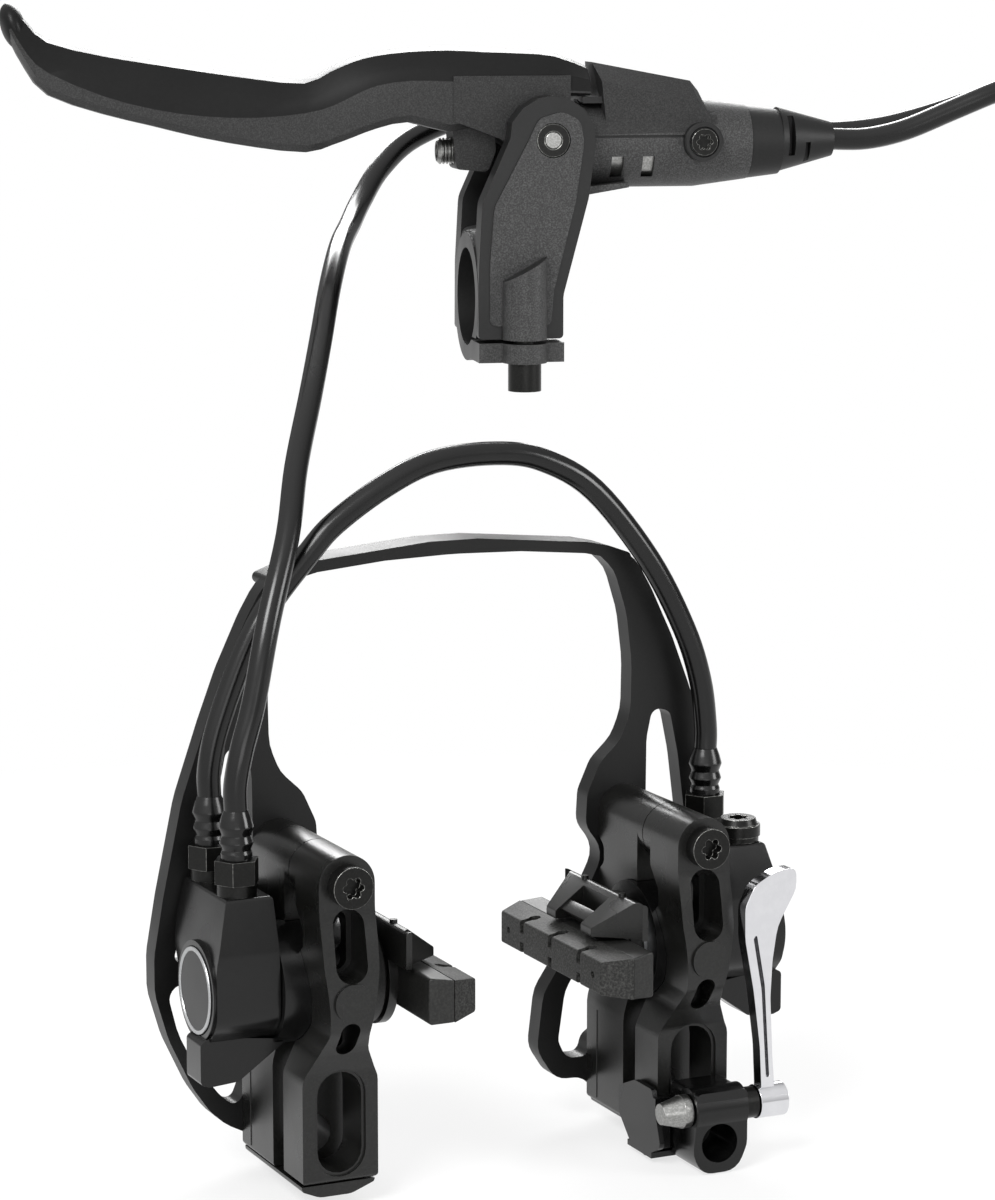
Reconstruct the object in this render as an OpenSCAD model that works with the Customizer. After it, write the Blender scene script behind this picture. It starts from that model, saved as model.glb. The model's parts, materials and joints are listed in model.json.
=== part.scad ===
// Hydraulic rim brake for a bicycle: a bar lever with its master cylinder,
// two wheel cylinders held in two-piece clamps, an arched brake booster,
// a quick release and the two hoses. Millimetres, +Z up, front towards -Y.
// The origin lies midway between the axes of the two brake bosses.

/* [Mounting] */
// Distance between the two brake bosses
boss_spacing = 80; // [78:1:84]
// Diameter of the boss bore in a rear clamp half
boss_bore_d = 8.2; // [8:0.1:9]

/* [Wheel cylinders] */
// Height of the cylinder axis above the bosses
cyl_z = 33; // [32:0.5:34]
// Place of the cylinder axis along Y
cyl_y = -2; // [-3:0.5:-1]
// Diameter of the barrel that the clamp halves hold
barrel_d = 25; // [24.5:0.1:25.4]
// Length of the barrel
barrel_len = 17.5; // [17:0.5:19]
// Depth of the housing outboard of the barrel
head_len = 13.8; // [13:0.2:16]
// Height of the flat top of the housing above the axis
head_top = 19.7; // [19:0.1:21]
// Diameter of the wheel piston
piston_d = 15.9; // [14:0.1:17]
// Length of the wheel piston
piston_len = 17.8; // [16:0.2:20]
// Diameter of the plain disc on the housing
badge_d = 18; // [12:1:19]

/* [Clamp halves] */
// Width of the front box
box_w = 16.4; // [15:0.2:17]
// Width of the upright slot in the front box
slot_w = 9.6; // [9:0.2:10.4]
// Front face of the front box
front_y = -17.3; // [-19:0.1:-16.5]
// Back face of the front box
front_back_y = -6.9; // [-7.4:0.1:-6]
// Front face of the rear box
rear_front_y = -1.9; // [-2.4:0.1:-1]
// Back face of the rear box, on which the booster sits
rear_y = 15.5; // [14.6:0.1:17]
// Height of the upper clamp bolt above the bosses
bolt_z = 56.5; // [56:0.5:58]
// Diameter of the bosses round the upper bolt
bolt_boss_d = 12; // [11:0.5:12.6]
// Diameter of the clamp bolt's shank
bolt_d = 5; // [4:0.5:6]
// Diameter of the clamp bolt's head
bolt_head_d = 8.5; // [8:0.1:10]

/* [Booster] */
// Thickness of the booster plate
booster_t = 5; // [4:0.5:6]
// Depth of the flange along the top of the arch
flange_depth = 9; // [6:0.5:11]
// Thickness of that flange
flange_t = 2.4; // [2:0.1:3]
// Height of the crown of the arch above the bosses
arch_z = 118.5; // [117.5:0.5:122]

/* [Brake pads] */
// Distance from a boss axis to the working face of the pad
pad_reach = 26; // [25:0.5:28]
// Thickness of the rubber
rubber_t = 6; // [5:0.5:7]
// Thickness of the pad's backing
backing_t = 5.2; // [4:0.2:6]
// Length of the pad
pad_len = 54.4; // [50:0.4:58]
// Width of the cross grooves
groove_w = 1.7; // [1:0.1:2.4]

/* [Lever] */
// Diameter of the handlebar in the clamp
bar_d = 22.2; // [22:0.1:23]
// Wall of the clamp ring
ring_wall = 3.5; // [3:0.1:4]
// Width of the clamp ring
ring_w = 19.5; // [17:0.5:21]
// Angle between the handlebar and the line of the pads
bar_turn = -14; // [-20:1:-8]
// Diameter of the sleeve round the master cylinder
sleeve_d = 20; // [19.6:0.1:21]
// Bore of the master cylinder
master_bore_d = 15; // [13:0.2:16]
// Diameter of the lever pivot pin
pin_d = 3.7; // [3:0.1:4.5]
// Diameter of the bright bush round the pivot pin
bush_d = 7.7; // [7:0.1:9]

/* [Quick release] */
// Bore of the quick release ring
ring_bore_d = 8.3; // [8:0.1:8.6]
// Diameter of the chrome barrel
qr_barrel_d = 7.2; // [6:0.2:8]

/* [Hoses] */
// Diameter of the hoses
hose_d = 5; // [4:0.2:5.6]

/* [Fits] */
// Radial clearance of pistons, pins and seals
run_gap = 0.05; // [0.03:0.01:0.08]
// Radial clearance of clamped or screwed pieces
seat_gap = 0.1; // [0.05:0.01:0.15]
// Gap between the booster and the back of a pad at rest
pad_gap = 1.4; // [1:0.2:2]

/* [Hidden] */

$fn = 48;
boss_x = boss_spacing / 2;
cut = 1;

// Wheel cylinder places, along X from the boss axis, outboard positive
barrel_x0 = -7;
barrel_x1 = barrel_x0 + barrel_len;
head_x1 = barrel_x1 + head_len;
port_x = barrel_x1 + head_len / 2 - 0.4;
port_front_y = -5;
port_rear_y = 10;
port_z = cyl_z + head_top;
bore_end_x = barrel_x1 + 2;
pad_back_x = -pad_reach + rubber_t + backing_t;
carrier_t = 2;
piston_x0 = pad_back_x + carrier_t;
sleeve_top_z = 70;

// Lever places, in the handlebar's own frame
bar_at = [46, 87, 162];
pivot_x = 7.5;
pivot_z = 35.8;
master_z = 34.5;
arm_in = 9.2;
arm_out = 15;
blade_half = 8.7;
tube_r = sleeve_d / 2 - 1;
sleeve_x0 = 15.7;
sleeve_x1 = 55.4;
tube_x0 = 17;
tube_x1 = 47;
piston_face_x = 14.5;
boot_x1 = 75.9;

// Quick release places, from the right boss axis
qr_z = 1.6;
qr_y = -25.6;
ring_z = -5;

// Black plastic, black rubber, steel and other colours of the real pieces
plastic = [0.10, 0.10, 0.105];
shell = [0.14, 0.14, 0.145];
rubber = [0.07, 0.07, 0.07];
steel = [0.55, 0.56, 0.58];
dark_steel = [0.13, 0.13, 0.14];
chrome = [0.85, 0.86, 0.88];

// Route of the main hose, from the left cylinder up behind the handlebar,
// along the back of the lever and round in a loop into the master cylinder
main_route = [
    [-57, -5, 70], [-57, -5, 75], [-55.6, -5, 82], [-52.6, -4, 91], [-48, -1, 107],
    [-41, 6, 122.5], [-35, 16, 135], [-26, 30, 148], [-17, 46, 158], [-9, 61, 166],
    [-1.5, 75, 171.8], [5.5, 88, 175.5], [12.5, 100, 178.3], [19.5, 110, 183], [27.5, 117, 190],
    [38, 120.5, 197], [54, 120, 202], [78, 116, 203.5], [98, 112.5, 202], [113, 110, 199.5],
    [127, 107.5, 197.5], [140, 104.8, 197], [152, 102, 198], [163, 99.6, 200.5], [174.2, 97.2, 204],
    [184.3, 92.5, 208], [190.7, 83.4, 211.5], [191.7, 72.3, 214], [187, 62.2, 214.8], [177.9, 55.8, 214],
    [167, 54.2, 211.3], [156.5, 57, 207.5], [147, 60.6, 203.3], [137, 64.1, 199], [128, 66.56, 197],
    [119.65, 68.64, 197]
];

// Route of the crossover hose between the two cylinders
cross_route = [
    [-57, 10, 70], [-57, 10, 75], [-55.6, 10, 82], [-52.4, 10, 91], [-48.4, 10, 100],
    [-43.6, 10, 108], [-35, 10, 118], [-29, 10, 124], [-18, 10, 131], [-7, 10, 135.5],
    [7, 10, 136.5], [18, 10, 134.5], [30, 10, 127.5], [43, 10, 112], [51.6, 10, 96.5],
    [55.6, 10, 85], [57, 10, 75], [57, 10, 70]
];

// Points of a rounded outline: each corner is [across, up, radius]
function flat(p) = [p[0], p[1]];
function unit(v) = v / norm(v);
function corner(a, b, c, r) =
    let (u = unit(a - b))
    let (v = unit(c - b))
    let (half = acos(max(-1, min(1, u * v))) / 2)
    r == 0 || half > 89 ? [b] :
    let (back = min(r / tan(half), 0.49 * min(norm(a - b), norm(c - b))))
    let (rr = back * tan(half))
    let (m = b + unit(u + v) * rr / sin(half))
    let (s = b + u * back - m)
    let (e = b + v * back - m)
    let (a0 = atan2(s[1], s[0]))
    let (d = atan2(e[1], e[0]) - a0)
    let (turn = d > 180 ? d - 360 : d < -180 ? d + 360 : d)
    let (n = max(1, ceil(abs(turn) / 18)))
    [for (i = [0:n]) m + rr * [cos(a0 + turn * i / n), sin(a0 + turn * i / n)]];
function rounded(p) =
    let (n = len(p))
    [for (i = [0:n - 1])
        each corner(flat(p[(i + n - 1) % n]), flat(p[i]), flat(p[(i + 1) % n]), p[i][2])];
function flip(p) = [for (i = [len(p) - 1:-1:0]) [-p[i][0], p[i][1], p[i][2]]];

// A smooth curve through the points of an open row, n steps in each span
function pick(p, i) = p[max(0, min(len(p) - 1, i))];
function between(a, b, c, d, t) =
    0.5 * (2 * b + (c - a) * t + (2 * a - 5 * b + 4 * c - d) * t * t
        + (3 * b - a - 3 * c + d) * t * t * t);
function curve(p, n) = [
    for (i = [0:len(p) - 2])
        for (k = [0:n - 1])
            between(pick(p, i - 1), p[i], p[i + 1], pick(p, i + 2), k / n),
    p[len(p) - 1]
];

// Faces of a closed loft through rings of m points each
function loft_faces(rings, m) = concat(
    [[for (j = [m - 1:-1:0]) j]],
    [[for (j = [0:m - 1]) (rings - 1) * m + j]],
    [for (i = [0:rings - 2])
        for (j = [0:m - 1])
            each [
                [i * m + j, (i + 1) * m + (j + 1) % m, (i + 1) * m + j],
                [i * m + j, i * m + (j + 1) % m, (i + 1) * m + (j + 1) % m]
            ]]
);

// A tube swept along a route; lead is a direction that the route never takes
module hose(route, d, sides, lead) {
    n = len(route);
    points = [
        for (i = [0:n - 1])
            let (way = unit(pick(route, i + 1) - pick(route, i - 1)))
            let (a = unit(cross(lead, way)))
            let (b = cross(way, a))
            for (j = [0:sides - 1])
                route[i] + d / 2 * (cos(-360 * j / sides) * a + sin(-360 * j / sides) * b)
    ];
    polyhedron(points, loft_faces(n, sides), convexity = 10);
}

// An outline drawn in X and Z, given a depth from y0 to y1
module slab(y0, y1)
    translate([0, y1, 0]) rotate([90, 0, 0]) linear_extrude(y1 - y0) children();

// An outline drawn in Y and Z, given a width from x0 to x1
module side_slab(x0, x1)
    translate([x0, 0, 0]) rotate([90, 0, 90]) linear_extrude(x1 - x0) children();

// A round bar along Y at x, z, and one along X at y, z
module bar_y(r, y0, y1, x, z)
    translate([x, y1, z]) rotate([90, 0, 0]) cylinder(r = r, h = y1 - y0);
module bar_x(r, x0, x1, y, z)
    translate([x0, y, z]) rotate([0, 90, 0]) cylinder(r = r, h = x1 - x0);
module cone_x(r0, r1, x0, x1, y, z)
    translate([x0, y, z]) rotate([0, 90, 0]) cylinder(r1 = r0, r2 = r1, h = x1 - x0);

// An upright slot with round ends
module slot_2d(w, z0, z1)
    polygon(rounded([[-w / 2, z0, w / 2], [w / 2, z0, w / 2],
        [w / 2, z1, w / 2], [-w / 2, z1, w / 2]]));

// The six-lobed socket of a screw, as an outline of width d
module lobes(d) {
    circle(r = d * 0.36, $fn = 24);
    for (a = [0:60:300])
        rotate(a) translate([d * 0.34, 0]) circle(r = d * 0.15, $fn = 16);
}

// Puts a shape drawn round the boss axis, outboard along +X, on its side
module right() translate([boss_x, 0, 0]) children();
module left() mirror([1, 0, 0]) translate([boss_x, 0, 0]) children();

// Puts a shape drawn in the handlebar's frame in its place
module at_bar() translate(bar_at) rotate([0, 0, bar_turn]) children();

// Front clamp half: a slotted box below, a waisted arm and a bolt boss
module front_clamp_shape() {
    arm_side = [
        [front_y, -6, 1.2], [front_back_y, -6, 0.4], [front_back_y, cyl_z + 5, 0],
        [-12.7, cyl_z + 9.5, 0], [-12.7, 46, 1.5], [-9, 50.5, 1.5], [-9, bolt_z, 0],
        [-21.5, bolt_z, 0], [-21.5, 51, 6], [-23, 45, 12], [-24.5, 37, 12],
        [-24.3, 31, 8], [-23, 26.5, 6], [-19.5, 22, 6], [front_y, 16.8, 3]
    ];
    half_face = [
        [box_w / 2, -6, 1], [box_w / 2, 15.5, 4], [5.2, 22, 5], [4.3, 26, 5],
        [4.9, 32, 10], [5.9, 40, 12], [6, 47, 6], [6, bolt_z, 0]
    ];
    difference() {
        union() {
            intersection() {
                side_slab(-box_w / 2, box_w / 2) polygon(rounded(arm_side));
                slab(-30, 0) polygon(rounded(concat(half_face, flip(half_face))));
            }
            bar_y(bolt_boss_d / 2, -21.5, -5.5, 0, bolt_z);
            bar_y(4, -25, -22, 0, cyl_z);
        }
        bar_x(barrel_d / 2 + seat_gap, -20, 20, cyl_y, cyl_z);
        bar_y(bolt_d / 2 + seat_gap, -23, -4, 0, bolt_z);
        slab(front_y - cut, front_back_y + cut) slot_2d(slot_w, -4.1, 16.9);
        slab(front_y - cut, front_y + 0.6) slot_2d(slot_w + 1.4, -4.8, 17.6);
        slab(-30, -8) slot_2d(4.4, 37.8, 50);
        slab(-30, -8) slot_2d(3, 21.6, 28.4);
    }
}
module left_front_clamp() color(plastic) left() front_clamp_shape();
module right_front_clamp() color(plastic) right() front_clamp_shape();

// Rear clamp half: the boss box, the arm behind the barrel, the upper boss
// and the lip on which the front half rests
module rear_clamp_shape() {
    arm_side = [
        [rear_front_y, -6.3, 0.4], [rear_y, -6.3, 1], [rear_y, 44, 2], [12.6, 46.5, 2],
        [12.6, 50, 2], [rear_y, 52, 0], [rear_y, bolt_z, 0], [-3, bolt_z, 0],
        [-3, cyl_z + 13, 0], [rear_front_y, cyl_z + 7, 0]
    ];
    half_face = [
        [box_w / 2 + 0.3, -6.3, 1], [box_w / 2 + 0.3, 16, 5], [6.4, 24, 8],
        [5.6, 40, 12], [6, 48, 6], [6, bolt_z, 0]
    ];
    lip = [
        [-7.8, -6.3, 0], [-7.6, -7, 1], [-2.6, -8.9, 4], [4.3, -8.9, 4],
        [8.1, -7.3, 1], [8.2, -6.3, 0]
    ];
    difference() {
        union() {
            intersection() {
                side_slab(-box_w, box_w) polygon(rounded(arm_side));
                slab(-10, 30) polygon(rounded(concat(half_face, flip(half_face))));
            }
            bar_y(bolt_boss_d / 2, -5.2, rear_y, 0, bolt_z);
            slab(front_y + 0.8, rear_y - 0.6) polygon(rounded(lip));
        }
        bar_x(barrel_d / 2 + seat_gap, -20, 20, cyl_y, cyl_z);
        bar_y(bolt_d / 2 + seat_gap, -7, rear_y + cut, 0, bolt_z);
        bar_y(boss_bore_d / 2, rear_front_y - cut, rear_y + cut, 0, 0);
    }
}
module left_rear_clamp() color(plastic) left() rear_clamp_shape();
module right_rear_clamp() color(plastic) right() rear_clamp_shape();

// Wheel cylinder: the clamped barrel, the housing with its flat top for the
// hose ports, the tab below and the piston bore
module cylinder_shape(rear_port, front_port) {
    top_z = cyl_z + head_top;
    head_side = [
        [cyl_y - 10.5, cyl_z, 6], [cyl_y - 10.4, cyl_z - 5, 5], [cyl_y - 5, cyl_z - 10.5, 5],
        [cyl_y + 5, cyl_z - 10.5, 5], [cyl_y + 10.4, cyl_z - 5, 5], [cyl_y + 10.5, cyl_z, 6],
        [14, cyl_z + 12, 6], [14, top_z, 1], [-9.4, top_z, 1], [cyl_y - 10.4, cyl_z + 9, 6]
    ];
    head_front = [
        [barrel_x1, cyl_z - 13, 0], [head_x1, cyl_z - 13, 0], [head_x1, cyl_z + 7, 6],
        [head_x1 - 3.3, top_z + 0.01, 0.8], [barrel_x1 + 0.5, top_z + 0.01, 0.8]
    ];
    tab = [
        [7.4, 22.5, 0.6], [18.2, 14.8, 1], [24.4, 14.3, 1], [26.3, 15, 1],
        [26.3, 23.4, 1], [24.2, 24.6, 0.5]
    ];
    difference() {
        union() {
            bar_x(barrel_d / 2, barrel_x0, barrel_x1, cyl_y, cyl_z);
            intersection() {
                side_slab(barrel_x1, head_x1) polygon(rounded(head_side));
                slab(-20, 20) polygon(rounded(head_front));
            }
            slab(cyl_y - 6, cyl_y + 2) polygon(rounded(tab));
            bar_x(10.2, head_x1 - 2, head_x1 + 0.6, cyl_y, cyl_z);
        }
        bar_x(piston_d / 2 + run_gap, barrel_x0 - cut, bore_end_x, cyl_y, cyl_z);
        bar_x(piston_d / 2 + 1.6, barrel_x0 + 5, barrel_x0 + 8, cyl_y, cyl_z);
        bar_x(badge_d / 2 + seat_gap, head_x1 - 0.4, head_x1 + cut, cyl_y, cyl_z);
        for (y = [port_front_y, port_rear_y])
            translate([port_x, y, port_z - 7]) cylinder(r = 2.6 + seat_gap, h = 7 + cut);
    }
}
module left_cylinder() color(shell) left() cylinder_shape();
module right_cylinder() color(shell) right() cylinder_shape();

// Piston that pushes the pad, and the square ring that seals and retracts it
module piston_shape()
    difference() {
        bar_x(piston_d / 2, piston_x0, piston_x0 + piston_len, cyl_y, cyl_z);
        bar_x(piston_d / 2 - 2.5, piston_x0 + 5, piston_x0 + piston_len + cut, cyl_y, cyl_z);
    }
module left_piston() color(steel) left() piston_shape();
module right_piston() color(steel) right() piston_shape();
module piston_seal_shape()
    difference() {
        bar_x(piston_d / 2 + 1.6 - run_gap, barrel_x0 + 5.05, barrel_x0 + 7.95, cyl_y, cyl_z);
        bar_x(piston_d / 2 + run_gap, barrel_x0, barrel_x0 + 9, cyl_y, cyl_z);
    }
module left_piston_seal() color(rubber) left() piston_seal_shape();
module right_piston_seal() color(rubber) right() piston_seal_shape();

// Plain round disc in its seat on the housing
module badge_shape()
    bar_x(badge_d / 2, head_x1 - 0.4, head_x1 + 0.8, cyl_y, cyl_z);
module left_badge() color(shell) left() badge_shape();
module right_badge() color(shell) right() badge_shape();

// Upper clamp bolt with a six-lobed socket, and its nut behind the booster
module clamp_bolt_shape()
    difference() {
        union() {
            bar_y(bolt_head_d / 2, -25, -21.5, 0, bolt_z);
            bar_y(bolt_d / 2, -22, rear_y + booster_t + 5, 0, bolt_z);
        }
        slab(-25 - cut, -22.8) translate([0, bolt_z]) lobes(4.6);
    }
module left_clamp_bolt() color(dark_steel) left() clamp_bolt_shape();
module right_clamp_bolt() color(dark_steel) right() clamp_bolt_shape();
module clamp_nut_shape()
    difference() {
        union() {
            translate([0, rear_y + booster_t + 4, bolt_z])
                rotate([90, 0, 0]) cylinder(r = 4.62, h = 3.2, $fn = 6);
            bar_y(5, rear_y + booster_t, rear_y + booster_t + 0.9, 0, bolt_z);
        }
        bar_y(bolt_d / 2 + run_gap, rear_y, rear_y + booster_t + 6, 0, bolt_z);
    }
module left_clamp_nut() color(dark_steel) left() clamp_nut_shape();
module right_clamp_nut() color(dark_steel) right() clamp_nut_shape();

// Pad carrier: a disc on the piston, a sloped top plate with a window and
// two pointed arms that reach over the pad
module carrier_shape() {
    x0 = pad_back_x;
    slope = [
        [x0, cyl_z + 4.6, 0], [x0 + carrier_t, cyl_z + 4.6, 0], [x0 + carrier_t, cyl_z + 12, 1],
        [x0 + 0.6, cyl_z + 12.4, 1], [x0 - 7.4, cyl_z + 6.6, 0.5], [x0 - 7.4, cyl_z + 4.8, 0.3]
    ];
    difference() {
        union() {
            bar_x(11, x0, x0 + carrier_t, cyl_y, cyl_z);
            slab(cyl_y - 19.4, cyl_y + 17) polygon(rounded(slope));
        }
        // the window between the two arms
        translate([x0 - 10, cyl_y - 7, cyl_z]) cube([9.2, 12, 20]);
        // the arms narrow to points at their tips
        for (s = [-1, 1])
            translate([x0 - 7.5, cyl_y - 1.2 + s * 10.5, cyl_z + 3])
                rotate([0, 0, s * 32]) translate([-9, s > 0 ? 0 : -20, 0]) cube([20, 20, 20]);
    }
    for (y = [cyl_y - 10, cyl_y + 7.4])
        translate([x0 + 0.7, y, cyl_z + 11.5]) cylinder(r = 0.8, h = 1.4, $fn = 20);
}
module left_pad_carrier() color(plastic) left() carrier_shape();
module right_pad_carrier() color(plastic) right() carrier_shape();

// Pad outline seen from the wheel, as half length along Y and a height span
module pad_plan(x0, x1, end0, end1)
    translate([0, cyl_y, 0])
        linear_extrude(100)
            polygon([[x0, -end0], [x1, -end1], [x1, end1], [x0, end0]]);
module backing_shape() {
    x1 = pad_back_x;
    x0 = x1 - backing_t;
    intersection() {
        slab(-60, 60) polygon(rounded([[x0, 27.9, 0], [x1, 27.5, 0.8],
            [x1, cyl_z + 4.3, 0.8], [x0, cyl_z + 3.6, 0]]));
        pad_plan(x0, x1, pad_len / 2, pad_len / 2 - 1.2);
    }
}
module left_pad_backing() color(plastic) left() backing_shape();
module right_pad_backing() color(plastic) right() backing_shape();
module rubber_shape() {
    x0 = -pad_reach;
    x1 = x0 + rubber_t;
    difference() {
        intersection() {
            slab(-60, 60) polygon(rounded([[x0, 28.7, 0.6], [x1, 27.9, 0],
                [x1, cyl_z + 3.6, 0], [x0, cyl_z + 2.6, 0.6]]));
            pad_plan(x0, x1, pad_len / 2 - 3.4, pad_len / 2);
        }
        // cross grooves, open at the face and wider at a round root
        for (i = [-1:1]) {
            y = cyl_y + i * pad_len / 4;
            translate([x0 - cut, y - groove_w / 2, 20]) cube([4, groove_w, 11]);
            translate([x0 - cut, y - groove_w / 2, 33]) cube([4, groove_w, 10]);
            translate([x0 + 3, y, 20]) cylinder(r = 1.3, h = 20, $fn = 24);
        }
        // wear dimples in the end blocks
        for (s = [-1, 1])
            bar_x(0.7, x0 - cut, x0 + 0.8, cyl_y + s * (pad_len / 2 - 7), 32.2);
    }
}
module left_pad_rubber() color(rubber) left() rubber_shape();
module right_pad_rubber() color(rubber) right() rubber_shape();

// Hose fitting: a collar on the housing, a hexagon and a stub in the port
module fitting_shape(y)
    translate([port_x, y, 0]) {
        translate([0, 0, port_z]) cylinder(r = 4, h = 2.4);
        translate([0, 0, port_z + 2.4]) cylinder(r = 4.7, h = 4.9, $fn = 6);
        translate([0, 0, port_z - 6]) cylinder(r = 2.6, h = 8);
    }
// Ribbed crimp sleeve on the end of the hose
module sleeve_shape(y) {
    z0 = port_z + 7.3;
    rise = sleeve_top_z - z0;
    translate([port_x, y, z0]) rotate_extrude()
        polygon(rounded([[0, 0, 0], [3.2, 0, 0], [3.2, rise * 0.12, 0.3],
            [2.9, rise * 0.2, 0.3], [3.5, rise * 0.34, 0.5], [3.0, rise * 0.5, 0.5],
            [3.6, rise * 0.66, 0.8], [3.1, rise * 0.84, 0.8], [2.5, rise, 0], [0, rise, 0]]));
}
module left_inlet_fitting() color(dark_steel) left() fitting_shape(port_front_y);
module left_inlet_sleeve() color(plastic) left() sleeve_shape(port_front_y);
module left_outlet_fitting() color(dark_steel) left() fitting_shape(port_rear_y);
module left_outlet_sleeve() color(plastic) left() sleeve_shape(port_rear_y);
module right_inlet_fitting() color(dark_steel) right() fitting_shape(port_rear_y);
module right_inlet_sleeve() color(plastic) right() sleeve_shape(port_rear_y);

// Bleed plug with a wide flange and a six-lobed socket
module right_bleed_plug() color(dark_steel) right()
    difference() {
        translate([port_x, port_front_y, 0]) {
            translate([0, 0, port_z]) cylinder(r = 4.4, h = 1.2);
            translate([0, 0, port_z + 1.2]) cylinder(r = 4.75, h = 2.4);
            translate([0, 0, port_z + 3.6]) cylinder(r1 = 4.2, r2 = 3.7, h = 1.4);
            translate([0, 0, port_z - 6]) cylinder(r = 2.6, h = 8);
        }
        translate([port_x, port_front_y, port_z + 2.2]) linear_extrude(4) lobes(4.6);
    }

// Booster: an arched plate behind both clamps, with a flange along its top,
// an eyelet at each upper bolt and an open loop round each boss
module booster() color(plastic) {
    outer = [
        [boss_x - 6, arch_z - 3.1, 20], [boss_x + 2, arch_z - 6, 10], [boss_x + 6.4, 105, 20],
        [boss_x + 11.6, 94, 20], [boss_x + 15.6, 83.5, 20], [boss_x + 21, 68, 20],
        [boss_x + 25.3, 48, 20], [boss_x + 27.4, 36, 10], [boss_x + 27.4, 28, 8],
        [boss_x + 24.5, 18, 12], [boss_x + 19.5, 7.3, 12], [boss_x + 15.5, 1.4, 8],
        [boss_x + 12, -1.7, 8], [boss_x + 7.5, -4, 5], [boss_x + 4, -6.6, 3],
        [boss_x - 4, -6.6, 3], [boss_x - 7.5, -3.4, 4], [boss_x - 10.5, -1.7, 4],
        [boss_x - 16, -1.5, 5], [boss_x - 20.5, 5.5, 6], [boss_x - 19, 18, 8],
        [boss_x + pad_back_x + pad_gap, cyl_z - 6.8, 4], [boss_x - 10, 37, 12],
        [boss_x - 4.5, 48, 6],
        [boss_x - 9, 54, 5], [boss_x - 8.6, 61, 5], [boss_x - 5.6, 67.6, 6],
        [boss_x - 0.7, 72.2, 8], [boss_x + 1.7, 78, 12], [boss_x + 1.9, 89, 20],
        [boss_x + 0.6, 99.6, 14], [boss_x - 2.4, 109.3, 8], [boss_x - 7, arch_z - 4.9, 4],
        [boss_x - 15.4, arch_z - 4.1, 30]
    ];
    lower = [
        [boss_x + 25, 29.5, 3], [boss_x + 22.4, 19, 12], [boss_x + 19, 12.2, 12],
        [boss_x + 13.5, 5, 6], [boss_x + 9.6, 1.6, 2], [boss_x + 7.6, 6.6, 3],
        [boss_x + 3, 9.4, 4], [boss_x - 3, 9.4, 4], [boss_x - 7.6, 6.4, 3],
        [boss_x - 8.6, 2.8, 2], [boss_x - 13.5, 3, 3], [boss_x - 15.4, 7, 3],
        [boss_x - 13.8, 18, 8], [boss_x - 8.8, 26, 4], [boss_x - 8.2, 29.5, 2]
    ];
    window = [
        [boss_x + 5.4, 49, 2.4], [boss_x + 5.6, 72, 8], [boss_x + 7, 78.6, 2.2],
        [boss_x + 11.2, 77.6, 2.2], [boss_x + 13.2, 68, 20], [boss_x + 15.6, 49, 2.4]
    ];
    small = [[boss_x + 17.2, 34, 1.6], [boss_x + 23.4, 34, 1.6], [boss_x + 21.2, 42, 1.2]];
    strip = [[boss_x - 6, arch_z - 3.1, 20], [boss_x + 2, arch_z - 6, 8],
        [boss_x + 1, arch_z - 6 - flange_t, 6], [boss_x - 6.6, arch_z - 3.1 - flange_t, 20]];
    crown = [[0, arch_z + 0.01, 60]];
    under = [[0, arch_z - flange_t + 0.01, 60]];
    back = rear_y + booster_t;
    difference() {
        union() {
            slab(rear_y, back)
                polygon(rounded(concat(crown, outer, [[0, arch_z - flange_t - 1, 60]],
                    flip(outer))));
            slab(rear_y, rear_y + flange_depth)
                polygon(rounded(concat(crown, strip, under, flip(strip))));
        }
        for (s = [-1, 1])
            scale([s, 1, 1]) {
                slab(rear_y - cut, back + cut) polygon(rounded(lower));
                slab(rear_y - cut, back + cut) polygon(rounded(window));
                slab(rear_y - cut, back + cut) polygon(rounded(small));
                bar_y(boss_bore_d / 2 + 0.5, rear_y - cut, back + cut, boss_x, 0);
                bar_y(bolt_d / 2 + seat_gap, rear_y - cut, back + cut, boss_x, bolt_z);
            }
    }
}

// Quick release block: the ring for the release stud and the cross bore
module qr_block() color(plastic) right() {
    face = [
        [-5.4, 6, 1.2], [6.5, 6, 1.2], [6.5, -6, 5], [4.2, -11.3, 5],
        [-4, -11.3, 5], [-6.2, -7, 5], [-5.4, 0, 3]
    ];
    difference() {
        union() {
            slab(-29.6, -18) polygon(rounded(face));
            bar_x(4.7, -5.4, 6.5, qr_y, qr_z);
        }
        bar_y(ring_bore_d / 2, -32, -17, 0, ring_z);
        bar_x(1.6 + run_gap, -8, 8, qr_y, qr_z);
    }
}
// Clip that holds the block to the front box
module qr_clip() color(plastic) right() {
    side = [
        [-2.6, 1.5, 0.6], [-2.6, -4.2, 1], [-8.1, -9.4, 1.5], [-15.1, -10.6, 1.5],
        [-22, -7, 1.5], [-17.9, 4.6, 1], [-10, 4.6, 2]
    ];
    x0 = -box_w / 2 - 1.7;
    side_slab(x0, x0 + 1.1) polygon(rounded(side));
    translate([x0, -17.9, -10.4]) cube([4.1 - x0, 11, 1.2]);
    translate([x0, -18, -8]) cube([4.6, 0.6, 11]);
    translate([x0, -19.6, -8]) cube([3.6, 1.8, 11]);
}
// Shaft through the block, with a tapered nose at its inner end
module qr_shaft() color(steel) right() {
    bar_x(1.6, -6, 16, qr_y, qr_z);
    bar_x(3.5, -7.4, -5.7, qr_y, qr_z);
    cone_x(2.2, 3.4, -11.9, -7.4, qr_y, qr_z);
}
module qr_washer() color(dark_steel) right()
    difference() {
        bar_x(3.3, 6.6, 10, qr_y, qr_z);
        bar_x(1.6 + run_gap, 6, 11, qr_y, qr_z);
    }
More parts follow.
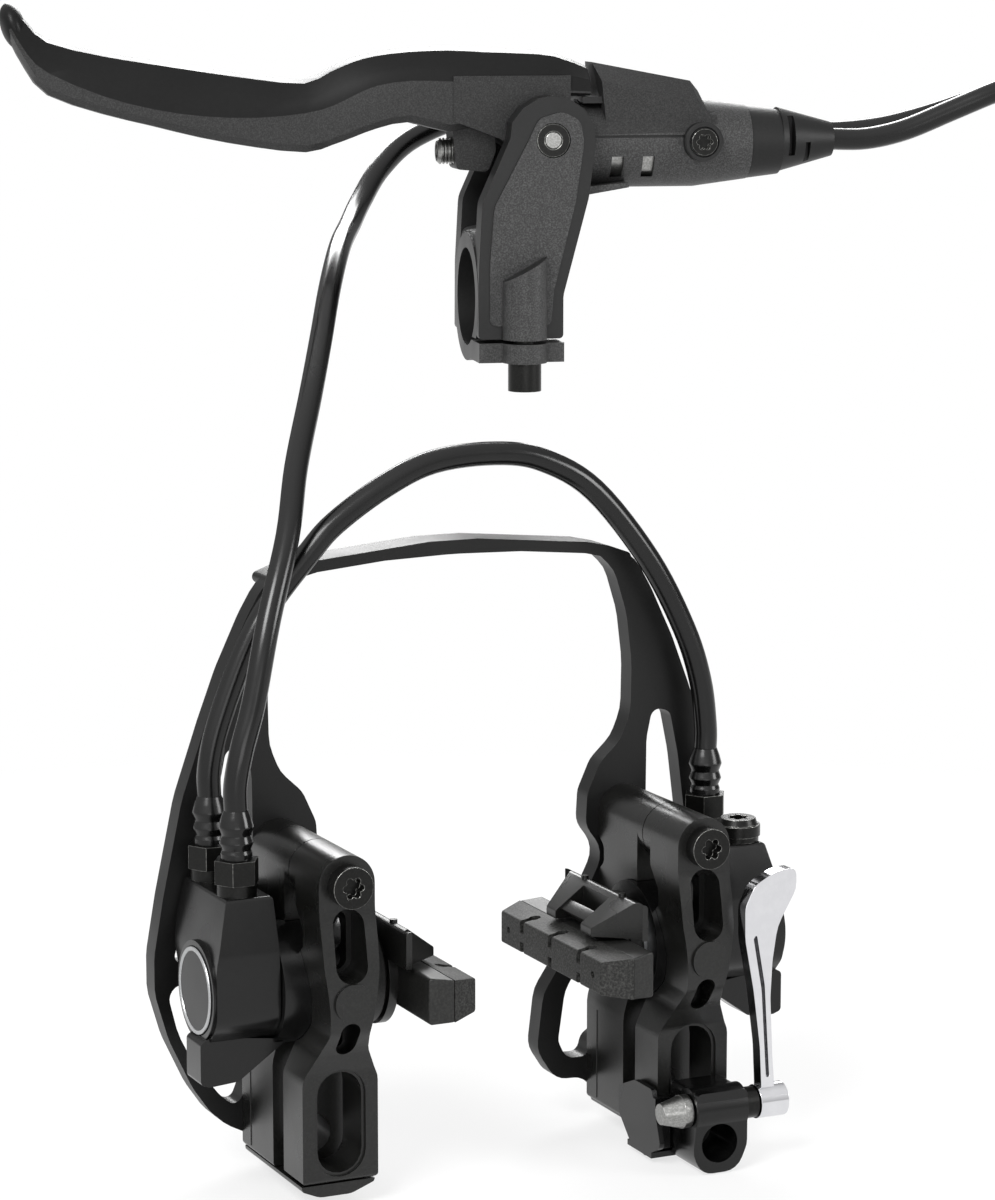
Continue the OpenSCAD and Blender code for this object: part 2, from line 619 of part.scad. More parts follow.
// Chrome lever: a barrel on the shaft, a ribbed stem and a curved paddle
module qr_lever() color(chrome) right() {
    blade = [
        [11.2, 2, 1], [14.4, 2, 1], [13.6, 12, 8], [13, 24, 12], [13.4, 32, 10],
        [14.5, 39.2, 10], [18.9, 46.8, 5], [18.8, 51.4, 1.6], [14, 51, 8], [8.9, 48.3, 5],
        [6.8, 43.8, 4], [6.9, 37, 8], [9, 26, 14], [10.6, 14, 14]
    ];
    difference() {
        union() {
            bar_x(qr_barrel_d / 2, 10.2, 16.7, qr_y, qr_z);
            slab(qr_y - 1.6, qr_y + 1.6) polygon(rounded(blade));
        }
        bar_x(1.6 + run_gap, 9, 16.05, qr_y, qr_z);
        slab(qr_y - 2, qr_y - 0.8)
            polygon(rounded([[12.2, 7, 0.3], [12.9, 7, 0.3], [11.6, 27, 6], [9.6, 38, 0.4],
                [8.9, 37, 0.4], [10.9, 26, 6]]));
    }
}

// Lever housing: the bar clamp with one slit, two fork arms for the blade,
// the sleeve round the master cylinder and the fin above it
module lever_housing() color(shell) at_bar() {
    arm = [
        [pivot_x - 9.8, pivot_z + 0.5, 0], [pivot_x - 9.4, pivot_z + 4, 0],
        [pivot_x - 6.9, pivot_z + 7.2, 0], [pivot_x - 3.4, pivot_z + 9.3, 0],
        [pivot_x, pivot_z + 9.9, 0], [pivot_x + 3.6, pivot_z + 9.2, 0],
        [pivot_x + 7, pivot_z + 7, 0], [pivot_x + 9.2, pivot_z + 3.6, 0],
        [pivot_x + 9.8, pivot_z, 0], [15.7, 23, 6], [9.9, 1.1, 4], [9.9, -8.6, 1],
        [-9.6, -8.6, 1], [-9.5, 7, 6], [-8.7, 21.9, 6]
    ];
    panel = [
        [pivot_x - 5.4, pivot_z + 0.6, 1], [pivot_x - 3.4, pivot_z + 4.9, 3],
        [pivot_x + 2, pivot_z + 6.4, 3], [pivot_x + 6.2, pivot_z + 4.4, 3],
        [pivot_x + 7, pivot_z - 0.6, 4], [12.6, 22, 6], [7.6, 2, 4], [7, -5.6, 1.5],
        [-7, -5.6, 1.5], [-7, 8, 5], [-6, 21, 6]
    ];
    web = [
        [-9, 4, 1], [-9, 15, 2], [4, 17.4, 2], [12.6, 24.2, 1], [17, 25.2, 0],
        [26, 26, 0], [26, 24.9, 0], [15.7, 23.2, 0], [9.9, 1.1, 0]
    ];
    ridge = [[21.4, 43], [20, 48.8], [42.6, 43.8], [45.4, 40.4], [46.4, 36.4], [21.4, 36.4]];
    crest = [[19.6, 51.6], [18.7, 52.9], [36.6, 48.9], [41.6, 48.6], [43.4, 46.4], [43, 38], [22, 38]];
    ring_r = bar_d / 2 + ring_wall;
    ring_x0 = -9.6;
    difference() {
        union() {
            bar_x(ring_r, ring_x0, ring_x0 + ring_w, 0, 0);
            slab(-arm_out, -arm_in) polygon(rounded(arm));
            slab(arm_in, arm_out) polygon(rounded(arm));
            slab(-arm_out - 0.4, -arm_out + 0.5) polygon(rounded(panel));
            slab(-arm_in - 1, arm_in + 1) polygon(rounded(web));
            bar_x(sleeve_d / 2, sleeve_x0, 43, 0, master_z);
            cone_x(sleeve_d / 2, sleeve_d / 2 - 1.6, 43, sleeve_x1, 0, master_z);
            hull() {
                slab(-8.6, 8.6) polygon(ridge);
                slab(-3.6, 3.6) polygon(crest);
            }
            bar_y(3.9, -11.6, -6, 43.1, 35);
            // boss for the clamp bolt, its top slanted, and the ear below
            intersection() {
                translate([0.8, -16, -8.8]) cylinder(r = 5, h = 20);
                slab(-22, -8) polygon([[-5, -9], [7, -9], [7, 10.6], [-5, 4]]);
            }
            translate([0.8, -16, -13.8]) cylinder(r = 5, h = 5);
            translate([ring_x0, -16, -13.8]) cube([ring_w, 16, 4.6]);
        }
        bar_x(bar_d / 2, -30, 16, 0, 0);
        translate([-12, -24, -9.4]) cube([24, 20, 0.8]);
        bar_y(bush_d / 2 + run_gap, -20, 20, pivot_x, pivot_z);
        bar_x(tube_r + seat_gap, 14, tube_x1 + 0.2, 0, master_z);
        bar_x(4.5 + seat_gap, 40, sleeve_x1 + cut, 0, master_z);
        // viewing windows and the slit below the fin
        for (x = [22.2, 29.4])
            translate([x, -14, 27.1]) cube([2.8, 14, 4.7]);
        translate([17.4, -12, 36]) cube([21.6, 4.2, 0.6]);
        bar_y(3.1, -12, -9.6, 43.1, 35);
        bar_y(1.6 + seat_gap, -12, -6, 43.1, 35);
        translate([0.8, -16, -20]) cylinder(r = bolt_d / 2 + seat_gap, h = 24);
    }
}

// Steel tube of the master cylinder, closed at the hose end
module master_tube() color(steel) at_bar()
    difference() {
        bar_x(tube_r, tube_x0, tube_x1, 0, master_z);
        bar_x(master_bore_d / 2, tube_x0 - cut, tube_x1 - 2.5, 0, master_z);
        bar_x(2, tube_x0, tube_x1 + cut, 0, master_z);
        bar_y(1.6 + seat_gap, -12, -6, 43.1, 35);
    }
// Master piston, pushed by the nose of the blade, and its seal
module master_piston() color(steel) at_bar()
    difference() {
        bar_x(master_bore_d / 2 - run_gap, piston_face_x, 30, 0, master_z);
        difference() {
            bar_x(master_bore_d, 25, 27.5, 0, master_z);
            bar_x(master_bore_d / 2 - 1.8, 24, 29, 0, master_z);
        }
    }
module master_seal() color(rubber) at_bar()
    difference() {
        bar_x(master_bore_d / 2 - run_gap / 2, 25.05, 27.45, 0, master_z);
        bar_x(master_bore_d / 2 - 1.8 + run_gap, 24, 29, 0, master_z);
    }
// Return spring between the piston and the end of the tube
module return_spring() color(steel) at_bar() {
    wire = 1.1;
    coil_r = master_bore_d / 2 - 1.6;
    turns = 5;
    steps = 14;
    x0 = 30 + wire / 2 + 0.1;
    x1 = tube_x1 - 2.5 - wire / 2 - 0.1;
    path = [for (i = [0:turns * steps])
        let (a = 360 * i / steps)
        [x0 + (x1 - x0) * i / (turns * steps), coil_r * cos(a), master_z + coil_r * sin(a)]];
    hose(path, wire, 6, [1, 0, 0]);
}

// Hose nut in the end of the sleeve, and the rubber boot over it
module hose_nut() color(steel) at_bar() {
    bar_x(4.5, tube_x1 + 0.3, 58, 0, master_z);
    bar_x(3, 58, 62, 0, master_z);
}
module hose_boot() color(rubber) at_bar()
    difference() {
        union() {
            cone_x(8.3, 7.4, sleeve_x1 + 0.1, 63, 0, master_z);
            cone_x(7.4, 3.9, 63, boot_x1, 0, master_z + 0.5);
        }
        bar_x(4.5 + seat_gap, 54, 58, 0, master_z);
        bar_x(3 + seat_gap, 57, 62.1, 0, master_z);
        // the grooves that let the boot bend
        translate([64.4, -9, master_z - 3]) cube([1.6, 6, 9]);
        translate([68.6, -9, master_z - 5]) cube([1.2, 6, 5]);
    }

// Screw that closes the bleed port on the front of the sleeve
module bleed_screw() color(dark_steel) at_bar()
    difference() {
        union() {
            bar_y(3, -12.2, -9.7, 43.1, 35);
            bar_y(1.6, -10, -7.7, 43.1, 35);
        }
        slab(-12.2 - cut, -10.6) translate([43.1, 35]) lobes(3.8);
    }

// Clamp bolt, upright in front of the bar, with its head below
module clamp_bolt() color(dark_steel) at_bar()
    difference() {
        union() {
            translate([0.8, -16, -20.2]) cylinder(r = 3.75, h = 6.3);
            translate([0.8, -16, -16]) cylinder(r = bolt_d / 2, h = 19.6);
        }
        translate([0.8, -16, -21]) linear_extrude(3.4) lobes(4.4);
    }

// Pivot pin through both fork arms, with a flanged bush in each arm
module pivot_pin() color(chrome) at_bar()
    bar_y(pin_d / 2, -arm_out - 0.2, arm_out + 0.2, pivot_x, pivot_z);
module bush_shape(y0, y1)
    difference() {
        bar_y(bush_d / 2, y0, y1, pivot_x, pivot_z);
        bar_y(pin_d / 2 + run_gap, y0 - cut, y1 + cut, pivot_x, pivot_z);
    }
module front_bush() color(dark_steel) at_bar() bush_shape(-arm_out - 0.2, -arm_in);
module rear_bush() color(dark_steel) at_bar() bush_shape(arm_in, arm_out + 0.2);

// Blade stations from the tip to the pivot: X, underside, edge, crest, half width
blade_stations = [
    [-113.4, 62, 63.5, 65.5, 3], [-112, 58, 61, 66.2, 4.6], [-108.5, 51.5, 55, 62.5, 6],
    [-104, 46.2, 51, 58.4, 6.8], [-92.3, 42.1, 46, 55.5, 7.2], [-81, 39.3, 43, 53.6, 7.3],
    [-70, 36.6, 41.4, 51.9, 7.3], [-58, 34.4, 41, 50.2, 7.3], [-47, 33.2, 42, 49.2, 7.3],
    [-41, 34.8, 43.6, 51.8, 7.4], [-36, 36.6, 46, 53.9, 7.6], [-31, 38.4, 48, 55.2, 7.8],
    [-23.5, 39.8, 49, 56.1, 8.1], [-14.5, 37.6, 48.8, 56.4, 8.5], [-6, 40, 48.3, 56, 8.7],
    [2, 45.4, 47.6, 55.7, 8.7], [10, 45.4, 46.8, 55, 8.7], [17.6, 45.4, 46.4, 52.2, 8.6]
];
// One ring of the blade: a flat underside, upright sides and a crowned top
function blade_ring(s) =
    let (low = min(1.6, (s[2] - s[1]) * 0.6))
    let (h = s[4])
    [
        [s[0], -h, s[1] + low], [s[0], -h, s[2]], [s[0], -h + 1.2, s[2] + (s[3] - s[2]) * 0.45],
        [s[0], -h * 0.5, s[3] - 0.8], [s[0], 0, s[3]], [s[0], h * 0.5, s[3] - 0.8],
        [s[0], h - 1.2, s[2] + (s[3] - s[2]) * 0.45], [s[0], h, s[2]], [s[0], h, s[1] + low],
        [s[0], h - 1.8, s[1]], [s[0], 0, s[1] - 0.2], [s[0], -h + 1.8, s[1]]
    ];
// Blade: the finger part, the hub on the pin, the nose that pushes the piston
// and the block that holds the reach screw
module lever_blade() color(shell) at_bar() {
    rows = curve(blade_stations, 2);
    rings = [for (s = rows) blade_ring(s)];
    neck = [
        [-14, 40, 0], [-14, 50, 0], [12.8, 50, 0], [12.8, 44, 0], [11, 37, 0], [pivot_x, 31, 0],
        [1, 33, 0], [-3.4, 36, 2]
    ];
    block = [[-12.6, 29, 1], [-5.4, 28.4, 1.4], [-3.6, 33, 1], [-4, 42, 0], [-14, 42, 0],
        [-13.4, 37, 1]];
    nose = [[4, 33], [12.3 - 1.8, 27.6], [12.3 + 0.8, 30], [10, 36]];
    difference() {
        union() {
            polyhedron([for (r = rings) each r], loft_faces(len(rings), 12), convexity = 6);
            slab(-blade_half, blade_half) polygon(rounded(neck));
            bar_y(6.2, -blade_half, blade_half, pivot_x, pivot_z);
            slab(-4.6, 4.6) polygon(rounded(block));
            slab(-3, 3) polygon(nose);
            bar_y(2, -3, 3, 12.3, 28.3);
        }
        bar_y(pin_d / 2 + run_gap, -12, 12, pivot_x, pivot_z);
        bar_x(3 + seat_gap, -20, -3.4, 0, 33);
    }
}
module reach_screw() color(steel) at_bar()
    difference() {
        bar_x(3, -16.4, -3.6, 0, 33);
        translate([-17, 0, 33]) rotate([90, 0, 90]) linear_extrude(2.8) lobes(3.4);
    }

module main_hose() color(rubber) hose(main_route, hose_d, 10, [-0.6, -0.6, 0.53]);
module crossover_hose() color(rubber) hose(cross_route, hose_d, 10, [0, 1, 0]);

lever_housing();
lever_blade();
pivot_pin();
front_bush();
rear_bush();
reach_screw();
clamp_bolt();
master_tube();
master_piston();
master_seal();
return_spring();
bleed_screw();
hose_nut();
hose_boot();
main_hose();
crossover_hose();
left_cylinder();
left_piston();
left_piston_seal();
left_front_clamp();
left_rear_clamp();
left_clamp_bolt();
left_clamp_nut();
left_pad_carrier();
left_pad_backing();
left_pad_rubber();
left_badge();
left_inlet_fitting();
left_inlet_sleeve();
left_outlet_fitting();
left_outlet_sleeve();
right_cylinder();
right_piston();
right_piston_seal();
right_front_clamp();
right_rear_clamp();
right_clamp_bolt();
right_clamp_nut();
right_pad_carrier();
right_pad_backing();
right_pad_rubber();
right_badge();
right_inlet_fitting();
right_inlet_sleeve();
right_bleed_plug();
booster();
qr_block();
qr_clip();
qr_shaft();
qr_washer();
qr_lever();
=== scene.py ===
"""Looks of the hydraulic rim brake, built round its packed construction model.

The construction model gives every piece at its real size. This script gives each piece its
rounded moulded or machined edges and its finish, makes the two hoses as smooth runs, and sets
a plain pale studio with a camera at the angle of the reference view. Lengths in the classes are
in millimetres, and one function turns them to metres.
"""

import json
import logging
import math
from collections.abc import Callable
from dataclasses import dataclass, field
from enum import Enum

import bmesh
import bpy
from mathutils import Matrix, Vector

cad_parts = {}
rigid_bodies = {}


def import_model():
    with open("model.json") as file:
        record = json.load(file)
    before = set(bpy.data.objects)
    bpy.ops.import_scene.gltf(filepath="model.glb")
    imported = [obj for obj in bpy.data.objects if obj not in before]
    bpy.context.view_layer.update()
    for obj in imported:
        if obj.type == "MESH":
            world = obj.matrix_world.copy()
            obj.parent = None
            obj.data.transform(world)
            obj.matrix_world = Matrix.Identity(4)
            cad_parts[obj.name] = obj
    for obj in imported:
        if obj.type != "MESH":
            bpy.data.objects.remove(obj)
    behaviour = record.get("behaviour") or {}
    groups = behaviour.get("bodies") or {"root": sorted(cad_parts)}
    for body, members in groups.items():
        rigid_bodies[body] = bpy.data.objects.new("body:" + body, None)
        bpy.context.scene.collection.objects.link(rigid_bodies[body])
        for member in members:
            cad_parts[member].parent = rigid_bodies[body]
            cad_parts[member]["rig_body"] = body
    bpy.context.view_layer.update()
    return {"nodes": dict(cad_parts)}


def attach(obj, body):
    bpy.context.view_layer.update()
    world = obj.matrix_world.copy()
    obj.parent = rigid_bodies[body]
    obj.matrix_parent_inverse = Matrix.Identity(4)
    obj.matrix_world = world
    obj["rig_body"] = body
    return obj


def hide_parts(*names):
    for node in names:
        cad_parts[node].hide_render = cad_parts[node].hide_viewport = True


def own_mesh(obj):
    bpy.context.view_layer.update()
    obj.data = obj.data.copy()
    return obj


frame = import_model()

log = logging.getLogger("rim_brake")

MM = 0.001
Point = tuple[float, float, float]

# Corners closer than this are one corner, in millimetres: in this script's own meshes, and in
# the construction model's
OWN_WELD = 0.001
CAD_WELD = 0.002
# The range of the grain noise over which its high spots lighten, and of the cloud noise over
# which the roughness shifts
SPOTS_FROM, SPOTS_FULL = 0.42, 0.75
CLOUD_FROM, CLOUD_FULL = 0.3, 0.7
# The boss axes stand this far from the middle plane, and the wheel cylinders' axis is at this
# Y and Z, in millimetres
BOSS_X = 40.0
CYLINDER_Y, CYLINDER_Z = -2.0, 33.0
# Strength of the room as a light, and to a mirror on its dark and its bright side
ROOM_LIGHT = 0.40
ROOM_DARK, ROOM_BRIGHT = 0.22, 1.25


def metres(p: Point) -> Vector:
    """Turns a point from millimetres to metres.

    Args:
        p: The point in millimetres.

    Returns:
        The point in metres.
    """
    return Vector(p) * MM


def linear(code: str) -> tuple[float, float, float, float]:
    """Turns an sRGB hex colour to linear RGBA.

    Args:
        code: The colour as six hex digits, such as "1A1A1B".

    Returns:
        The four linear channels, alpha 1.
    """
    parts = [int(code[i:i + 2], 16) / 255 for i in (0, 2, 4)]
    curve = [c / 12.92 if c <= 0.04045 else ((c + 0.055) / 1.055) ** 2.4 for c in parts]
    return (curve[0], curve[1], curve[2], 1.0)


def add_node(tree: bpy.types.NodeTree, kind: str, settings: dict | None = None,
             links: dict | None = None) -> bpy.types.Node:
    """Adds one shader node with its settings and its incoming links.

    Args:
        tree: The material's or world's node tree.
        kind: The node's type name without the ShaderNode prefix.
        settings: Attribute names, or input names, with their values.
        links: Input names or numbers with the output socket that feeds each.

    Returns:
        The new node.
    """
    node = tree.nodes.new("ShaderNode" + kind)
    for name, value in (settings or {}).items():
        if hasattr(node, name):
            setattr(node, name, value)
        else:
            node.inputs[name].default_value = value
    for name, socket in (links or {}).items():
        tree.links.new(socket, node.inputs[name])
    return node


def add_object(name: str, data: bpy.types.ID) -> bpy.types.Object:
    """Adds an object to the scene.

    Args:
        name: Its name.
        data: Its mesh, curve, camera or light.

    Returns:
        The object.
    """
    made = bpy.data.objects.new(name, data)
    bpy.context.scene.collection.objects.link(made)
    return made


class Slot(Enum):
    """Material slots of the record."""

    GRAINED = "grained_plastic"
    ARM = "arm_plastic"
    ARCH = "arch_plastic"
    SMOOTH = "smooth_plastic"
    PAD_BACK = "pad_plastic"
    BADGE = "badge_disc"
    BLACK_STEEL = "black_steel"
    BRIGHT_STEEL = "bright_steel"
    ALUMINIUM = "turned_aluminium"
    CHROME = "chrome_plate"
    HOSE = "hose_jacket"
    BOOT = "boot_rubber"
    SEAL = "black_rubber"
    PAD = "pad_rubber"


@dataclass(frozen=True)
class Finish:
    """One surface: a base colour with a fine grain and broad cloudiness.

    The grain is a noise of grain_mm that lifts the surface and lightens its high spots, as spark
    eroded mould walls do. The cloud is a noise of cloud_mm that shifts roughness a little, as
    handling and flow of the plastic do.
    """

    name: str
    slot: Slot
    dark: str
    light: str
    roughness: float
    metallic: float = 0.0
    specular: float = 0.5
    grain_mm: float = 0.6
    grain_bump: float = 0.2
    grain_rise_mm: float = 0.04
    speckle: float = 0.5
    cloud_mm: float = 18.0
    cloud_shift: float = 0.06

    def material(self) -> bpy.types.Material:
        """Builds the node material, or returns it if it is there.

        Returns:
            The material of this finish.
        """
        found = bpy.data.materials.get(self.name)
        if found:
            return found
        mat = bpy.data.materials.new(self.name)
        mat.use_nodes = True
        tree = mat.node_tree
        tree.nodes.clear()
        coords = add_node(tree, "TexCoord")
        place = {"Vector": coords.outputs["Object"]}
        grain = add_node(tree, "TexNoise",
                         {"Scale": 1 / (self.grain_mm * MM), "Detail": 3.0, "Roughness": 0.6},
                         place)
        cloud = add_node(tree, "TexNoise",
                         {"Scale": 1 / (self.cloud_mm * MM), "Detail": 2.0}, place)
        spots = add_node(tree, "MapRange",
                         {"From Min": SPOTS_FROM, "From Max": SPOTS_FULL, "To Min": 0.0,
                          "To Max": self.speckle},
                         {"Value": grain.outputs[0]})
        colour = add_node(tree, "Mix", {"data_type": "RGBA"}, {0: spots.outputs[0]})
        colour.inputs[6].default_value = linear(self.dark)
        colour.inputs[7].default_value = linear(self.light)
        rough = add_node(tree, "MapRange",
                         {"From Min": CLOUD_FROM, "From Max": CLOUD_FULL,
                          "To Min": max(0.02, self.roughness - self.cloud_shift),
                          "To Max": min(1.0, self.roughness + self.cloud_shift)},
                         {"Value": cloud.outputs[0]})
        bump = add_node(tree, "Bump",
                        {"Strength": self.grain_bump, "Distance": self.grain_rise_mm * MM},
                        {"Height": grain.outputs[0]})
        shader = add_node(tree, "BsdfPrincipled",
                          {"Metallic": self.metallic, "Specular IOR Level": self.specular},
                          {"Base Color": colour.outputs[2], "Roughness": rough.outputs[0],
                           "Normal": bump.outputs[0]})
        add_node(tree, "OutputMaterial", links={"Surface": shader.outputs[0]})
        return mat


# Glass-filled polyamide from a spark eroded mould: dark grey with a light, even grain
GRAINED = Finish("grained polyamide", Slot.GRAINED, "262626", "6A6A6A", 0.50, specular=0.35,
                 grain_mm=0.34, speckle=0.45, grain_bump=0.45)
# The same plastic from a polished wall of the mould: the borders of the arms, a dark soft sheen
POLISHED = Finish("polished polyamide", Slot.GRAINED, "171717", "262626", 0.36, specular=0.3,
                  grain_mm=0.8, speckle=0.2, grain_bump=0.05)
# The blade's lower and front face, a finer and darker grain
BLADE = Finish("fine grained polyamide", Slot.GRAINED, "1C1C1C", "555555", 0.46, specular=0.28,
               grain_mm=0.32, speckle=0.35, grain_bump=0.35)
# The blade's top face: smooth and near black
BLADE_TOP = Finish("smooth black polyamide", Slot.GRAINED, "101010", "1C1C1C", 0.42, specular=0.16,
                   grain_mm=0.9, speckle=0.2, grain_bump=0.05)
# The clamp halves, the same plastic from a smoother mould: near black with a soft sheen
ARM = Finish("satin polyamide", Slot.ARM, "0D0D0C", "2E2E2C", 0.30, specular=0.42, grain_mm=0.45,
             speckle=0.3, grain_bump=0.32)
# The booster, moulded matte: the darkest plastic of the brake
ARCH = Finish("matte polyamide", Slot.ARCH, "0A0A0A", "1E1E1D", 0.40, specular=0.3, grain_mm=0.5,
              speckle=0.2, grain_bump=0.2)
# Smooth moulded plastic: cylinder housings and the release block, with long soft highlights
SMOOTH = Finish("glossy polyamide", Slot.SMOOTH, "090909", "161615", 0.22, specular=0.36,
                grain_mm=0.8, speckle=0.15, grain_bump=0.1)
# Pad backing, a little greyer
PAD_BACK = Finish("pad backing plastic", Slot.PAD_BACK, "121211", "3C3C3A", 0.46, specular=0.35,
                  grain_mm=0.5, speckle=0.35, grain_bump=0.4)
# Plain discs, smooth and glossy
BADGE = Finish("glossy black disc", Slot.BADGE, "070708", "0E0E0F", 0.22, specular=0.18,
               grain_mm=0.8, speckle=0.1, grain_bump=0.03)
# Silver rim of the discs, spun aluminium
BADGE_RIM = Finish("spun aluminium rim", Slot.BADGE, "A8A9AA", "D2D3D4", 0.32, metallic=0.9,
                   grain_mm=0.4, speckle=0.4, grain_bump=0.06)
# Black oxide on machined steel: dark, with a metallic sheen
BLACK_STEEL = Finish("black oxide steel", Slot.BLACK_STEEL, "161615", "30302E", 0.30, metallic=0.7,
                     grain_mm=0.4, speckle=0.3, grain_bump=0.15)
# Bright steel on the rounded edges of the black oxide pieces: a painted highlight along each edge
EDGE_HIGHLIGHT = Finish("worn steel edge", Slot.BLACK_STEEL, "5A5A58", "B4B4B0", 0.30, metallic=1.0,
              grain_mm=0.5, speckle=0.8, grain_bump=0.1)
# Machined steel, bright, with fine turning lines
BRIGHT_STEEL = Finish("machined steel", Slot.BRIGHT_STEEL, "8A8A88", "CFCFCD", 0.30, metallic=1.0,
                      grain_mm=0.4, speckle=0.5, grain_bump=0.12)
# Turned aluminium of the pistons
ALUMINIUM = Finish("turned aluminium", Slot.ALUMINIUM, "B4B6B8", "DADCDE", 0.30, metallic=1.0,
                   grain_mm=0.4, speckle=0.4, grain_bump=0.1)
# Polished chrome plate, which mirrors the room's bright side and its dark one
CHROME = Finish("polished chrome", Slot.CHROME, "D6D6D9", "E8E8EA", 0.10, metallic=1.0,
                grain_mm=3.0, speckle=0.3, grain_bump=0.04, cloud_mm=9.0, cloud_shift=0.03)
# The groove of the lever: a dull dark grey metal, painted shade in the recess
GROOVE_SHADE = Finish("dull plated groove", Slot.CHROME, "3C3C3E", "77777A", 0.32, metallic=1.0,
                grain_mm=0.6, speckle=0.5, grain_bump=0.15)
# Extruded polyamide hose jacket: black and glossy
HOSE = Finish("extruded hose jacket", Slot.HOSE, "060606", "0E0E0E", 0.22, specular=0.38,
              grain_mm=1.2, speckle=0.2, grain_bump=0.05)
# Moulded rubber boot, satin
BOOT = Finish("moulded boot rubber", Slot.BOOT, "0F0F0F", "262626", 0.44, specular=0.3,
              grain_mm=0.5, speckle=0.2, grain_bump=0.2)
# Moulded seal rubber, matte and black
SEAL = Finish("seal rubber", Slot.SEAL, "0E0E0E", "1C1C1C", 0.55)
# Brake rubber: dry, matte and gritty
PAD = Finish("brake rubber", Slot.PAD, "161615", "585856", 0.62, specular=0.3, grain_mm=0.45,
             speckle=0.5, grain_bump=0.7, grain_rise_mm=0.07)


class Side(Enum):
    """The two sides of the brake, with the sign of X on each."""

    LEFT = -1
    RIGHT = 1

    def place(self, out: float, y: float, z: float) -> Vector:
        """Turns a point given from the boss axis, outboard positive, to metres.

        Args:
            out: Distance outboard of the boss axis, in millimetres.
            y: Y in millimetres.
            z: Z in millimetres.

        Returns:
            The point in metres.
        """
        return metres((self.value * (BOSS_X + out), y, z))

    def outboard(self) -> Vector:
        """Gives the direction away from the middle plane.

        Returns:
            The direction, of length 1.
        """
        return Vector((self.value, 0, 0))


# The handlebar's own frame, in which the lever is drawn
BAR_TURN = Matrix.Rotation(math.radians(-14), 4, "Z")
BAR = Matrix.Translation(metres((46, 87, 162))) @ BAR_TURN


def on_bar(x: float, y: float, z: float) -> Vector:
    """Turns a point of the handlebar's frame to the shared frame.

    Args:
        x: Distance along the bar, in millimetres.
        y: Distance across the bar, to the rear, in millimetres.
        z: Height in millimetres.

    Returns:
        The point in metres.
    """
    return BAR @ metres((x, y, z))


def bar_way(x: float, y: float, z: float) -> Vector:
    """Turns a direction of the handlebar's frame to the shared frame.

    Args:
        x: Its part along the bar.
        y: Its part across the bar, to the rear.
        z: Its upward part.

    Returns:
        The direction.
    """
    return BAR.to_3x3() @ Vector((x, y, z))


def in_bar(p: Vector) -> tuple[float, float, float]:
    """Turns a point of the shared frame to the handlebar's frame.

    Args:
        p: The point in metres.

    Returns:
        X, Y and Z in millimetres.
    """
    x, y, z = BAR.inverted() @ p
    return (x / MM, y / MM, z / MM)


def soften(bm: bmesh.types.BMesh, radius: float, segments: int) -> None:
    """Rounds every edge of a mesh.

    Args:
        bm: The mesh.
        radius: Radius of the rounding, in millimetres.
        segments: Number of steps in the rounding.
    """
    bmesh.ops.bevel(bm, geom=bm.edges[:], offset=radius * MM, offset_type="OFFSET",
                    segments=segments, profile=0.5, affect="EDGES", material=-1)


def settle(bm: bmesh.types.BMesh, name: str, body: str, finish: Finish,
           crease_deg: float = 30.0) -> bpy.types.Object:
    """Turns a finished bmesh into a piece that rides on a body.

    Args:
        bm: The mesh, freed here.
        name: The piece's name.
        body: The body that it rides on.
        finish: Its surface.
        crease_deg: Edges flatter than this are smooth.

    Returns:
        The piece.
    """
    bmesh.ops.remove_doubles(bm, verts=bm.verts[:], dist=OWN_WELD * MM)
    bmesh.ops.recalc_face_normals(bm, faces=bm.faces[:])
    for face in bm.faces:
        face.smooth = True
    for edge in bm.edges:
        edge.smooth = edge.calc_face_angle(3.14) < math.radians(crease_deg)
    mesh = bpy.data.meshes.new(name)
    bm.to_mesh(mesh)
    bm.free()
    piece = add_object(name, mesh)
    mesh.materials.append(finish.material())
    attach(piece, body)
    log.info("%s: %d faces", name, len(mesh.polygons))
    return piece


def turned(profile: list[tuple[float, float]], start: Vector, along: Vector,
           steps: int = 48) -> bmesh.types.BMesh:
    """Spins a profile round an axis, as a lathe does.

    Args:
        profile: Distance along the axis and radius of each corner, in millimetres.
        start: Where the profile's zero is, in metres.
        along: Direction of the axis.
        steps: Number of steps in the turn.

    Returns:
        The turned mesh.
    """
    along = along.normalized()
    side = along.orthogonal().normalized()
    bm = bmesh.new()
    verts = [bm.verts.new(start + along * (a * MM) + side * (r * MM)) for a, r in profile]
    edges = [bm.edges.new(pair) for pair in zip(verts, verts[1:])]
    bmesh.ops.spin(bm, geom=verts + edges, cent=start, axis=along, angle=math.tau, steps=steps,
                   use_merge=True, use_duplicate=False)
    bmesh.ops.remove_doubles(bm, verts=bm.verts[:], dist=OWN_WELD * MM)
    return bm


